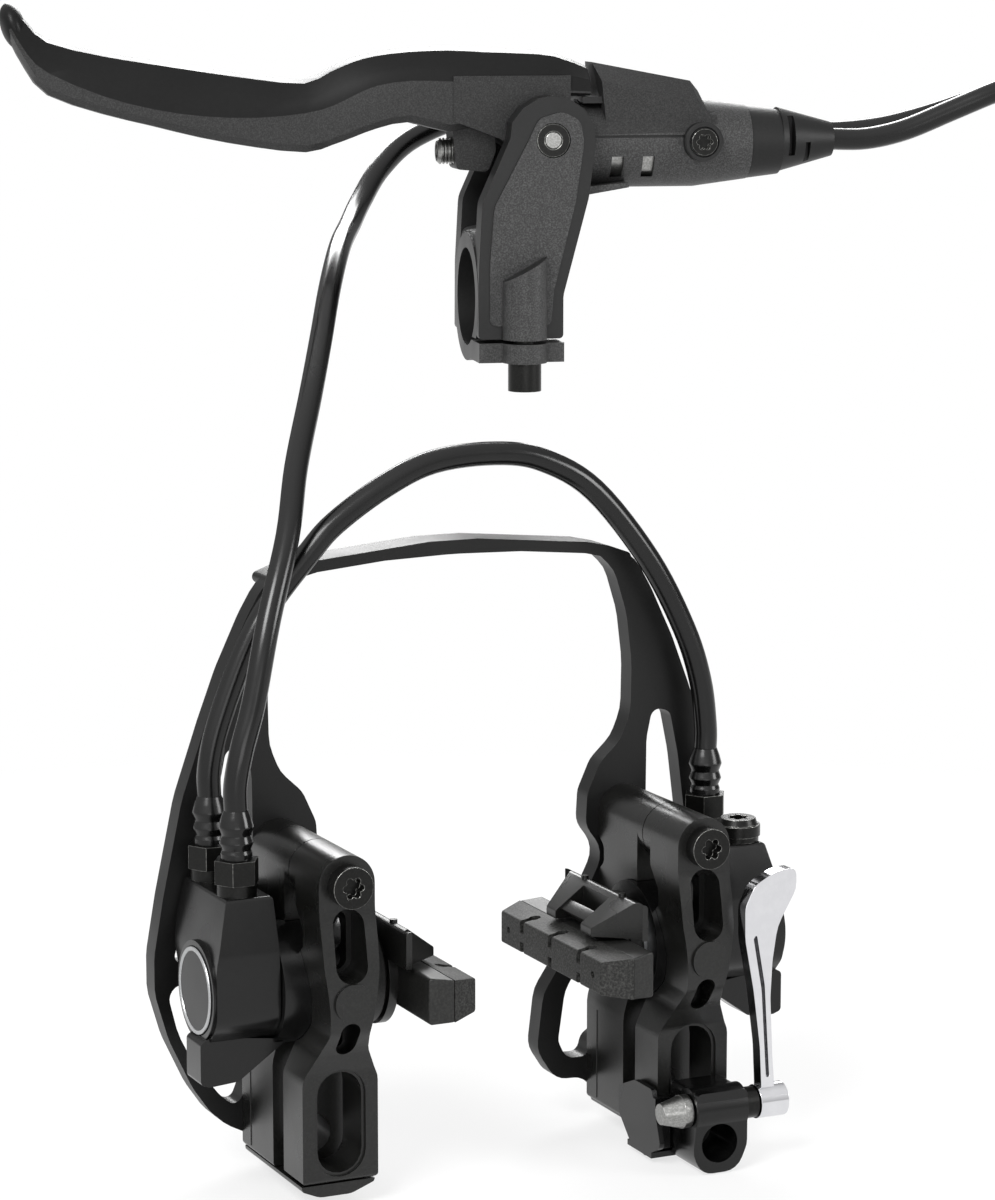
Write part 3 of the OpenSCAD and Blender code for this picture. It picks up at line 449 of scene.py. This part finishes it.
@dataclass
class Skin:
    """A construction piece with its edges rounded and its finish on.

    Attributes:
        node: The construction node that the piece stands for.
        finish: Its surface.
        edge_mm: Radius of the rounded edges; 0 leaves them sharp.
        crease_deg: Edges flatter than this are shaded as one smooth surface.
        edge_highlight: Finish of the rounded edges, where it isn't the piece's own; on black steel
            it is a painted highlight.
        cuts: Shapes that are carved out of the piece.
        others: Further finishes for the faces that picks chooses.
        picks: Gives by a face's middle and normal which finish it gets, 0 for the piece's own.
    """

    node: str
    finish: Finish
    edge_mm: float = 0.3
    crease_deg: float = 28.0
    edge_highlight: Finish | None = None
    cuts: list[bmesh.types.BMesh] = field(default_factory=list)
    others: list[Finish] = field(default_factory=list)
    picks: Callable[[Vector, Vector], int] | None = None

    def build(self) -> bpy.types.Object:
        """Copies the node's mesh, joins its loose faces, rounds its edges and dresses it.

        Returns:
            The new piece, riding on the node's body.
        """
        source = frame["nodes"][self.node]
        mesh = bpy.data.meshes.new(self.node + "_skin")
        bm = bmesh.new()
        bm.from_mesh(source.data)
        bmesh.ops.remove_doubles(bm, verts=bm.verts[:], dist=CAD_WELD * MM)
        bm.to_mesh(mesh)
        bm.free()
        piece = add_object(self.node + "_skin", mesh)
        for cutter in self.cuts:
            self.carve(piece, cutter)
        self.shade(piece.data)
        if self.edge_mm > 0:
            bevel = piece.modifiers.new("rounded edges", "BEVEL")
            bevel.width = self.edge_mm * MM
            bevel.segments = 2
            bevel.limit_method = "ANGLE"
            bevel.angle_limit = math.radians(self.crease_deg)
            bevel.harden_normals = True
            bevel.use_clamp_overlap = True
            # The rounded edges may get a finish of their own: the bright steel one is a painted
            # highlight
            if self.edge_highlight:
                piece.data.materials.append(self.edge_highlight.material())
                bevel.material = len(piece.data.materials) - 1
        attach(piece, source["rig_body"])
        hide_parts(self.node)
        log.info("%s: %d faces", piece.name, len(piece.data.polygons))
        return piece

    def carve(self, piece: bpy.types.Object, cutter: bmesh.types.BMesh) -> None:
        """Cuts a shape out of the piece and keeps the result as its mesh.

        Args:
            piece: The piece.
            cutter: The shape, freed here.
        """
        shape = bpy.data.meshes.new("cutter")
        bmesh.ops.recalc_face_normals(cutter, faces=cutter.faces[:])
        cutter.to_mesh(shape)
        cutter.free()
        tool = add_object("cutter", shape)
        cut = piece.modifiers.new("cut", "BOOLEAN")
        cut.operation = "DIFFERENCE"
        cut.solver = "EXACT"
        cut.object = tool
        carved = bpy.data.meshes.new_from_object(
            piece.evaluated_get(bpy.context.evaluated_depsgraph_get()))
        piece.modifiers.remove(cut)
        piece.data = carved
        bpy.data.objects.remove(tool)

    def shade(self, mesh: bpy.types.Mesh) -> None:
        """Merges flat faces, marks the sharp edges and gives each face its finish.

        Args:
            mesh: The piece's mesh.
        """
        bm = bmesh.new()
        bm.from_mesh(mesh)
        bmesh.ops.remove_doubles(bm, verts=bm.verts[:], dist=CAD_WELD * MM)
        bmesh.ops.dissolve_limit(bm, angle_limit=math.radians(0.4), verts=bm.verts[:],
                                 edges=bm.edges[:], use_dissolve_boundaries=False)
        for face in bm.faces:
            face.smooth = True
            if self.picks:
                face.material_index = self.picks(face.calc_center_median(), face.normal)
        for edge in bm.edges:
            edge.smooth = edge.calc_face_angle(3.14) < math.radians(self.crease_deg)
        mesh.materials.clear()
        for finish in (self.finish, *self.others):
            mesh.materials.append(finish.material())
        bm.to_mesh(mesh)
        bm.free()


def block(centre: Vector, size: Point, turn: Matrix | None = None) -> bmesh.types.BMesh:
    """Makes a straight-sided block.

    Args:
        centre: Its middle, in metres.
        size: Its sides along X, Y and Z, in millimetres.
        turn: A rotation about its middle.

    Returns:
        The block.
    """
    bm = bmesh.new()
    shape = (turn or Matrix()) @ Matrix.Diagonal((*(v * MM for v in size), 1))
    bmesh.ops.create_cube(bm, size=1, matrix=Matrix.Translation(centre) @ shape)
    return bm


def stadium(side: Side, half_width: float, low: float, high: float,
            front: float, back: float) -> bmesh.types.BMesh:
    """Makes an upright round-ended slot shape, used to carve a clamp half.

    Args:
        side: The side of the brake.
        half_width: Radius of its round ends, in millimetres.
        low: Its lowest Z.
        high: Its highest Z.
        front: Y of its front end.
        back: Y of its back end.

    Returns:
        The closed shape.
    """
    bm = bmesh.new()
    bmesh.ops.create_circle(bm, segments=40, radius=half_width * MM)
    reach = (high - low) / 2 - half_width
    up = [v for v in bm.verts if v.co.y > 0]
    down = [v for v in bm.verts if v.co.y <= 0]
    bmesh.ops.translate(bm, verts=up, vec=(0, reach * MM, 0))
    bmesh.ops.translate(bm, verts=down, vec=(0, -reach * MM, 0))
    bmesh.ops.contextual_create(bm, geom=bm.edges[:])
    pushed = bmesh.ops.extrude_face_region(bm, geom=bm.faces[:])["geom"]
    bmesh.ops.translate(bm, verts=[v for v in pushed if isinstance(v, bmesh.types.BMVert)],
                        vec=(0, 0, (back - front) * MM))
    upright = Matrix.Rotation(math.radians(90), 4, "X")
    bmesh.ops.transform(bm, verts=bm.verts[:],
                        matrix=Matrix.Translation(side.place(0, back, (low + high) / 2)) @ upright)
    return bm


def smooth_route(points: list[Point], steps: int) -> list[Vector]:
    """Runs a smooth curve through a route's points.

    Args:
        points: The route in millimetres.
        steps: How many parts each span is cut into.

    Returns:
        Points in metres along the curve.
    """
    rows = [metres(p) for p in points]
    last = len(rows) - 1
    out = []
    for i in range(last):
        a, b, c, d = rows[max(i - 1, 0)], rows[i], rows[i + 1], rows[min(i + 2, last)]
        for k in range(steps):
            t = k / steps
            out.append(0.5 * (2 * b + (c - a) * t + (2 * a - 5 * b + 4 * c - d) * t * t
                              + (3 * b - a - 3 * c + d) * t ** 3))
    out.append(rows[-1])
    return out


@dataclass
class Hose:
    """A hydraulic hose along its own route, both ends in fittings."""

    node: str
    route: list[Point]
    diameter: float = 5.0
    steps: int = 6

    def build(self) -> bpy.types.Object:
        """Returns:
            The hose.
        """
        points = smooth_route(self.route, self.steps)
        data = bpy.data.curves.new(self.node + "_run", "CURVE")
        data.dimensions = "3D"
        data.bevel_depth = self.diameter / 2 * MM
        data.bevel_resolution = 5
        data.use_fill_caps = True
        spline = data.splines.new("POLY")
        spline.points.add(len(points) - 1)
        for slot_point, p in zip(spline.points, points):
            slot_point.co = (p.x, p.y, p.z, 1)
        spline.use_smooth = True
        piece = add_object(self.node + "_run", data)
        data.materials.append(HOSE.material())
        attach(piece, "root")
        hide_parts(self.node)
        return piece


@dataclass
class Studio:
    """Camera, lamps, floor and room.

    Attributes:
        camera_at: The camera's place in millimetres.
        azimuth: Its turn about the vertical, in degrees.
        elevation: Its height angle, in degrees.
        focal_px: Focal length in pixels of the 995 by 1200 frame.
        floor_z: Height of the floor in millimetres.
    """

    camera_at: Point = (-320.1, -692.7, 234.0)
    azimuth: float = -25.0
    elevation: float = 9.4
    focal_px: float = 3766.7
    frame_px: tuple[int, int] = (995, 1200)
    floor_z: float = -11.6
    lamps: list[tuple[str, Point, Point, float, float]] = field(default_factory=lambda: [
        ("key", (-620, -480, 760), (0, 20, 100), 420, 9.0),
        ("fill", (780, -620, 380), (20, 20, 100), 380, 4.5),
        ("rim", (300, 760, 620), (20, 20, 120), 500, 8.0),
        ("low", (-260, -900, 40), (10, 0, 60), 500, 1.8),
    ])

    def build(self) -> None:
        """Makes the camera, the lamps, the floor and the world."""
        self.camera()
        for lamp in self.lamps:
            self.lamp(*lamp)
        self.floor()
        self.world()
        bpy.context.scene.view_settings.view_transform = "Standard"

    def camera(self) -> None:
        """Makes the camera at the reference view's angle and framing."""
        data = bpy.data.cameras.new("camera")
        data.sensor_fit = "VERTICAL"
        data.lens = self.focal_px / self.frame_px[1] * data.sensor_height
        data.clip_start = 0.01
        data.clip_end = 20
        camera = add_object("camera", data)
        camera.location = metres(self.camera_at)
        camera.rotation_euler = (math.radians(90 - self.elevation), 0, math.radians(self.azimuth))
        bpy.context.scene.camera = camera

    def lamp(self, name: str, at: Point, to: Point, size: float, power: float) -> None:
        """Makes one soft square lamp.

        Args:
            name: Its name.
            at: Its place, in millimetres.
            to: The point that it faces, in millimetres.
            size: Its side, in millimetres.
            power: Its power in watts.
        """
        data = bpy.data.lights.new(name, "AREA")
        data.size = size * MM
        data.energy = power
        lamp = add_object(name, data)
        lamp.location = metres(at)
        lamp.rotation_euler = (metres(to) - metres(at)).to_track_quat("-Z", "Y").to_euler()

    def floor(self) -> None:
        """Makes the pale floor, white to the camera and still shaded under the brake."""
        bm = bmesh.new()
        bmesh.ops.create_grid(bm, x_segments=1, y_segments=1, size=4.0)
        bmesh.ops.translate(bm, verts=bm.verts[:], vec=(0, 0, self.floor_z * MM))
        mesh = bpy.data.meshes.new("floor")
        bm.to_mesh(mesh)
        bm.free()
        floor = add_object("floor", mesh)
        mat = bpy.data.materials.new("pale floor")
        mat.use_nodes = True
        tree = mat.node_tree
        tree.nodes.clear()
        rays = add_node(tree, "LightPath")
        seen = add_node(tree, "Math", {"operation": "MAXIMUM"},
                        {0: rays.outputs["Is Camera Ray"], 1: rays.outputs["Is Glossy Ray"]})
        coords = add_node(tree, "TexCoord")
        away = add_node(tree, "VectorMath", {"operation": "LENGTH"}, {0: coords.outputs["Object"]})
        fade = add_node(tree, "MapRange",
                        {"From Min": 0.12, "From Max": 0.42, "To Min": 0.72, "To Max": 1.0},
                        {"Value": away.outputs["Value"]})
        share = add_node(tree, "Math", {"operation": "MULTIPLY"},
                         {0: seen.outputs[0], 1: fade.outputs[0]})
        paint = add_node(tree, "BsdfDiffuse", {"Color": linear("F2F2F2")})
        glow = add_node(tree, "Emission", {"Color": (1, 1, 1, 1), "Strength": 1.0})
        both = add_node(tree, "MixShader", links={0: share.outputs[0], 1: paint.outputs[0],
                                                  2: glow.outputs[0]})
        add_node(tree, "OutputMaterial", links={"Surface": both.outputs[0]})
        mesh.materials.append(mat)

    def world(self) -> None:
        """Makes the white room.

        The camera sees it plain white and it lights the brake dimly. A mirror sees it bright
        towards the upper front left and dark on the other side, which shows each form.
        """
        world = bpy.data.worlds.new("room")
        bpy.context.scene.world = world
        world.use_nodes = True
        tree = world.node_tree
        tree.nodes.clear()
        rays = add_node(tree, "LightPath")
        coords = add_node(tree, "TexCoord")
        towards = add_node(tree, "VectorMath", {"operation": "DOT_PRODUCT"},
                           {0: coords.outputs["Generated"]})
        towards.inputs[1].default_value = (-0.50, -0.42, 0.76)
        mirrored = add_node(tree, "MapRange",
                            {"From Min": -0.25, "From Max": 0.85, "To Min": ROOM_DARK,
                             "To Max": ROOM_BRIGHT},
                            {"Value": towards.outputs["Value"]})
        shiny = add_node(tree, "Mix", {"data_type": "FLOAT"},
                         {0: rays.outputs["Is Glossy Ray"], 3: mirrored.outputs[0]})
        shiny.inputs[2].default_value = ROOM_LIGHT
        strength = add_node(tree, "Mix", {"data_type": "FLOAT"},
                            {0: rays.outputs["Is Camera Ray"], 2: shiny.outputs[0]})
        strength.inputs[3].default_value = 1.0
        back = add_node(tree, "Background", {"Color": (1, 1, 1, 1)},
                        {"Strength": strength.outputs[0]})
        add_node(tree, "OutputWorld", links={"Surface": back.outputs[0]})


# Routes of the hoses, the same points as in the construction model
MAIN_ROUTE: list[Point] = [
    (-57, -5, 70), (-57, -5, 75), (-55.6, -5, 82), (-52.6, -4, 91), (-48, -1, 107),
    (-41, 6, 122.5), (-35, 16, 135), (-26, 30, 148), (-17, 46, 158), (-9, 61, 166),
    (-1.5, 75, 171.8), (5.5, 88, 175.5), (12.5, 100, 178.3), (19.5, 110, 183), (27.5, 117, 190),
    (38, 120.5, 197), (54, 120, 202), (78, 116, 203.5), (98, 112.5, 202), (113, 110, 199.5),
    (127, 107.5, 197.5), (140, 104.8, 197), (152, 102, 198), (163, 99.6, 200.5),
    (174.2, 97.2, 204), (184.3, 92.5, 208), (190.7, 83.4, 211.5), (191.7, 72.3, 214),
    (187, 62.2, 214.8), (177.9, 55.8, 214), (167, 54.2, 211.3), (156.5, 57, 207.5),
    (147, 60.6, 203.3), (137, 64.1, 199), (128, 66.56, 197), (119.65, 68.64, 197),
]
CROSS_ROUTE: list[Point] = [
    (-57, 10, 70), (-57, 10, 75), (-55.6, 10, 82), (-52.4, 10, 91), (-48.4, 10, 100),
    (-43.6, 10, 108), (-35, 10, 118), (-29, 10, 124), (-18, 10, 131), (-7, 10, 135.5),
    (7, 10, 136.5), (18, 10, 134.5), (30, 10, 127.5), (43, 10, 112), (51.6, 10, 96.5),
    (55.6, 10, 85), (57, 10, 75), (57, 10, 70),
]

# Height of the blade's ridge line along its length, in the handlebar's frame
RIDGE = [
    (-113.4, 63.5), (-112, 61), (-108.5, 55), (-104, 51), (-92.3, 46), (-81, 43), (-70, 41.4),
    (-58, 41), (-47, 42), (-41, 43.6), (-36, 46), (-31, 48), (-23.5, 49), (-14.5, 48.8),
    (-6, 48.3), (2, 47.6), (10, 46.8), (17.7, 46.4),
]


def blade_zone(middle: Vector, normal: Vector) -> int:
    """Gives the finish of a face of the blade.

    Args:
        middle: The face's middle, in metres.
        normal: Its direction; not used.

    Returns:
        1 on the smooth top, above the ridge line, and 0 elsewhere.
    """
    x, _, z = in_bar(middle)
    for (x0, z0), (x1, z1) in zip(RIDGE, RIDGE[1:]):
        if x0 <= x <= x1:
            return 1 if z > z0 + (z1 - z0) * (x - x0) / (x1 - x0) + 0.3 else 0
    return 0


def housing_zone(middle: Vector, normal: Vector) -> int:
    """Gives the finish of a face of the lever housing.

    Args:
        middle: The face's middle, in metres.
        normal: Its direction.

    Returns:
        0 on the grained panel and sleeve, 1 on the smooth borders and the ring, 2 on the fin.
    """
    x, y, z = in_bar(middle)
    if y < -15.2 and abs(normal.z) < 0.3:
        return 0
    if (abs(y) > 9 and x < 17.5) or z < 12:
        return 1
    return 2 if z > 37 and 17 < x < 47 else 0


def groove_shade_zone(middle: Vector, normal: Vector) -> int:
    """Gives the finish of a face of the release lever, with painted shade in its groove.

    Args:
        middle: The face's middle, in metres.
        normal: Its direction.

    Returns:
        1 in the groove, whose floor lies just behind the front face and is painted dark as shade,
        and 0 elsewhere.
    """
    return 1 if -0.0271 < middle.y < -0.0262 and normal.y < -0.5 else 0


@dataclass
class PadBoot:
    """The dark collar that covers the piston behind a pad."""

    side: Side
    inner: float = -12.75
    bore: float = 8.1
    radius: float = 10.6
    width: float = 4.1

    def build(self) -> None:
        """Turns the collar and lets it move with the pad."""
        name = self.side.name.lower()
        profile = [(0, self.bore), (0, self.radius - 0.7), (0.7, self.radius),
                   (self.width - 0.9, self.radius), (self.width, self.radius - 0.9),
                   (self.width, self.bore), (0, self.bore)]
        centre = self.side.place(self.inner, CYLINDER_Y, CYLINDER_Z)
        bm = turned(profile, centre, self.side.outboard(), 64)
        settle(bm, f"{name}_pad_boot", f"{name}_pad", PAD_BACK)


@dataclass
class CarrierBar:
    """The bar that joins the two arms of a pad carrier near their tips."""

    side: Side

    def build(self) -> None:
        """Makes the bar, sloped like the arms."""
        name = self.side.name.lower()
        slope = Matrix.Rotation(math.radians(36) * -self.side.value, 4, "Y")
        bm = block(self.side.place(-19.3, -3, 40.1), (3.0, 13.4, 1.9), slope)
        soften(bm, 0.3, 2)
        settle(bm, f"{name}_carrier_bar", f"{name}_pad", ARM)


@dataclass
class DiscRim:
    """Silver rim round the plain disc on a wheel cylinder."""

    side: Side
    inner: float = 8.0
    outer: float = 8.95
    out: float = 25.08

    def build(self) -> None:
        """Turns the rim on the disc's face."""
        name = self.side.name.lower()
        profile = [(0, self.inner), (0.16, self.inner + 0.1), (0.16, self.outer - 0.1),
                   (0, self.outer)]
        centre = self.side.place(self.out, CYLINDER_Y, CYLINDER_Z)
        bm = turned(profile, centre, self.side.outboard(), 72)
        settle(bm, f"{name}_disc_rim", "root", BADGE_RIM)


@dataclass
class PartingLines:
    """Fine moulding ridges down both sides of a rear box."""

    side: Side

    def build(self) -> None:
        """Makes a thin upright ridge on each side of the box."""
        name = self.side.name.lower()
        for number, out in enumerate((-8.52, 8.52)):
            bm = block(self.side.place(out, 10.6, 4.6), (0.24, 0.3, 19.5))
            soften(bm, 0.08, 1)
            settle(bm, f"{name}_parting_line_{number}", "root", ARM)


@dataclass
class LeverDetails:
    """Fine pieces of the lever, and a mesh of its own for the return spring.

    Attributes:
        pitch: Pitch of the reach screw's thread, in millimetres.
        spring: Both ends of the return spring along the bar at rest, in millimetres; not used.
        travel: Way of the master piston, in millimetres; not used.
    """

    pitch: float = 0.8
    spring: tuple[float, float] = (30.1, 44.4)
    travel: float = 2.09

    def build(self) -> None:
        """Makes each piece in order."""
        self.bleed_boss()
        self.slit_ground()
        self.fin_root()
        self.tip_bead()
        self.reach_thread()
        self.spring_follows()

    def spring_follows(self) -> None:
        """Gives the return spring's piece a mesh of its own."""
        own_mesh(bpy.data.objects["return_spring_skin"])

    def bleed_boss(self) -> None:
        """Turns the raised ring round the bleed screw."""
        profile = [(0, 3.2), (0, 4.5), (2.3, 4.5), (2.6, 4.2), (2.6, 3.5), (2.3, 3.2), (0, 3.2)]
        bm = turned(profile, on_bar(43.1, -9.3, 35), bar_way(0, -1, 0))
        settle(bm, "bleed_boss_ring", "root", POLISHED)

    def slit_ground(self) -> None:
        """Closes the slit below the fin with a near-black strip, painted shade on the slit's
        floor.
        """
        # The strip's seal-rubber black stands in for the shade inside the slit
        bm = block(on_bar(28.2, -9.15, 36.3), (21.4, 0.3, 0.56), BAR_TURN)
        settle(bm, "slit_ground", "root", SEAL)

    def fin_root(self) -> None:
        """Closes the gap between the fin's root and the sleeve with a dark web."""
        bm = block(on_bar(18.4, 0, 44.5), (5.2, 15, 1.5), BAR_TURN)
        settle(bm, "fin_root_web", "root", POLISHED)

    def tip_bead(self) -> None:
        """Rounds the blade's tip with a flattened bead."""
        bm = bmesh.new()
        lean = Matrix.Rotation(math.radians(-16), 4, "Y")
        shape = (Matrix.Translation(on_bar(-111.2, 0, 61.2)) @ BAR_TURN @ lean
                 @ Matrix.Diagonal((2.7, 4.9, 5.2, 1)))
        bmesh.ops.create_uvsphere(bm, u_segments=40, v_segments=24, radius=MM, matrix=shape)
        settle(bm, "blade_tip_bead", "lever_blade", BLADE_TOP)

    def reach_thread(self) -> None:
        """Turns the threaded reach screw with its socket."""
        start, end = -16.4, -3.6
        profile = [(2.6, 0), (2.6, 1.5), (0, 1.6), (0, 2.3), (0.5, 2.8)]
        count = int((end - start - 1.2) / self.pitch)
        for turn in range(count):
            at = 0.7 + turn * self.pitch
            profile += [(at, 2.98), (at + 0.15, 2.98), (at + self.pitch / 2, 2.5),
                        (at + self.pitch / 2 + 0.1, 2.5)]
        profile += [(end - start - 0.3, 2.6), (end - start, 2.6), (end - start, 0)]
        bm = turned(profile, on_bar(start, 0, 33), bar_way(1, 0, 0), 32)
        piece = settle(bm, "reach_screw_thread", "lever_blade", BRIGHT_STEEL, 25)
        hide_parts("reach_screw")


def lever_skins() -> list[Skin]:
    """Lists the dressed pieces of the lever.

    Returns:
        The skins in building order.
    """
    return [
        Skin("lever_housing", GRAINED, 0.5, others=[POLISHED, BLADE], picks=housing_zone),
        Skin("lever_blade", BLADE, 0.35, 24.0, others=[BLADE_TOP], picks=blade_zone),
        # Black steel pieces get bright steel on their rounded edges: a painted highlight
        Skin("pivot_pin", BRIGHT_STEEL, 0.2), Skin("front_bush", BLACK_STEEL, 0.25, edge_highlight=EDGE_HIGHLIGHT),
        Skin("rear_bush", BLACK_STEEL, 0.25), Skin("clamp_bolt", BLACK_STEEL, 0.5, edge_highlight=EDGE_HIGHLIGHT),
        Skin("master_tube", BRIGHT_STEEL, 0.2), Skin("master_piston", ALUMINIUM, 0.2),
        Skin("master_seal", SEAL, 0.1), Skin("return_spring", BRIGHT_STEEL, 0.0, 60.0),
        Skin("bleed_screw", BLACK_STEEL, 0.2, edge_highlight=EDGE_HIGHLIGHT), Skin("hose_nut", BRIGHT_STEEL, 0.2),
        Skin("hose_boot", BOOT, 0.25),
    ]


def side_skins(side: Side) -> list[Skin]:
    """Lists the dressed pieces of one wheel cylinder and its clamp.

    Args:
        side: The side of the brake.

    Returns:
        The skins in building order.
    """
    name = side.name.lower()
    slots = [stadium(side, 3.4, 36.9, 51.6, -30, -15.5), stadium(side, 2.1, 21.2, 28.6, -30, -15)]
    return [
        Skin(f"{name}_cylinder", SMOOTH, 1.1), Skin(f"{name}_piston", ALUMINIUM, 0.2),
        Skin(f"{name}_piston_seal", SEAL, 0.1), Skin(f"{name}_front_clamp", ARM, 0.55, cuts=slots),
        Skin(f"{name}_rear_clamp", ARM, 0.6),
        # Black steel pieces get bright steel on their rounded edges: a painted highlight
        Skin(f"{name}_clamp_bolt", BLACK_STEEL, 0.14, edge_highlight=EDGE_HIGHLIGHT),
        Skin(f"{name}_clamp_nut", BLACK_STEEL, 0.25, edge_highlight=EDGE_HIGHLIGHT),
        Skin(f"{name}_pad_carrier", ARM, 0.35), Skin(f"{name}_pad_backing", PAD_BACK, 0.4),
        Skin(f"{name}_pad_rubber", PAD, 0.3), Skin(f"{name}_badge", BADGE, 0.25),
        Skin(f"{name}_inlet_fitting", BLACK_STEEL, 0.3, edge_highlight=EDGE_HIGHLIGHT),
        Skin(f"{name}_inlet_sleeve", HOSE, 0.1),
    ]


def other_skins() -> list[Skin]:
    """Lists the pieces that stand on one side only, with the booster and the release.

    Returns:
        The skins in building order.
    """
    return [
        # Black steel pieces get bright steel on their rounded edges: a painted highlight
        Skin("left_outlet_fitting", BLACK_STEEL, 0.3, edge_highlight=EDGE_HIGHLIGHT),
        Skin("left_outlet_sleeve", HOSE, 0.1),
        Skin("right_bleed_plug", BLACK_STEEL, 0.3, edge_highlight=EDGE_HIGHLIGHT), Skin("booster", ARCH, 0.7),
        Skin("qr_block", SMOOTH, 0.5), Skin("qr_clip", SMOOTH, 0.3),
        Skin("qr_shaft", BRIGHT_STEEL, 0.2), Skin("qr_washer", BLACK_STEEL, 0.2),
        # The lever's groove is painted dark grey: painted shade in the recess
        Skin("qr_lever", CHROME, 0.5, others=[GROOVE_SHADE], picks=groove_shade_zone),
    ]


def main() -> None:
    """Builds the studio, the hoses and every dressed piece in order."""
    logging.basicConfig(level=logging.INFO, format="%(message)s")
    Studio().build()
    Hose("main_hose", MAIN_ROUTE).build()
    Hose("crossover_hose", CROSS_ROUTE).build()
    for skin in lever_skins() + other_skins():
        skin.build()
    LeverDetails().build()
    for side in Side:
        for skin in side_skins(side):
            skin.build()
        for detail in (PadBoot(side), CarrierBar(side), DiscRim(side), PartingLines(side)):
            detail.build()


if __name__ == "__main__":
    main()
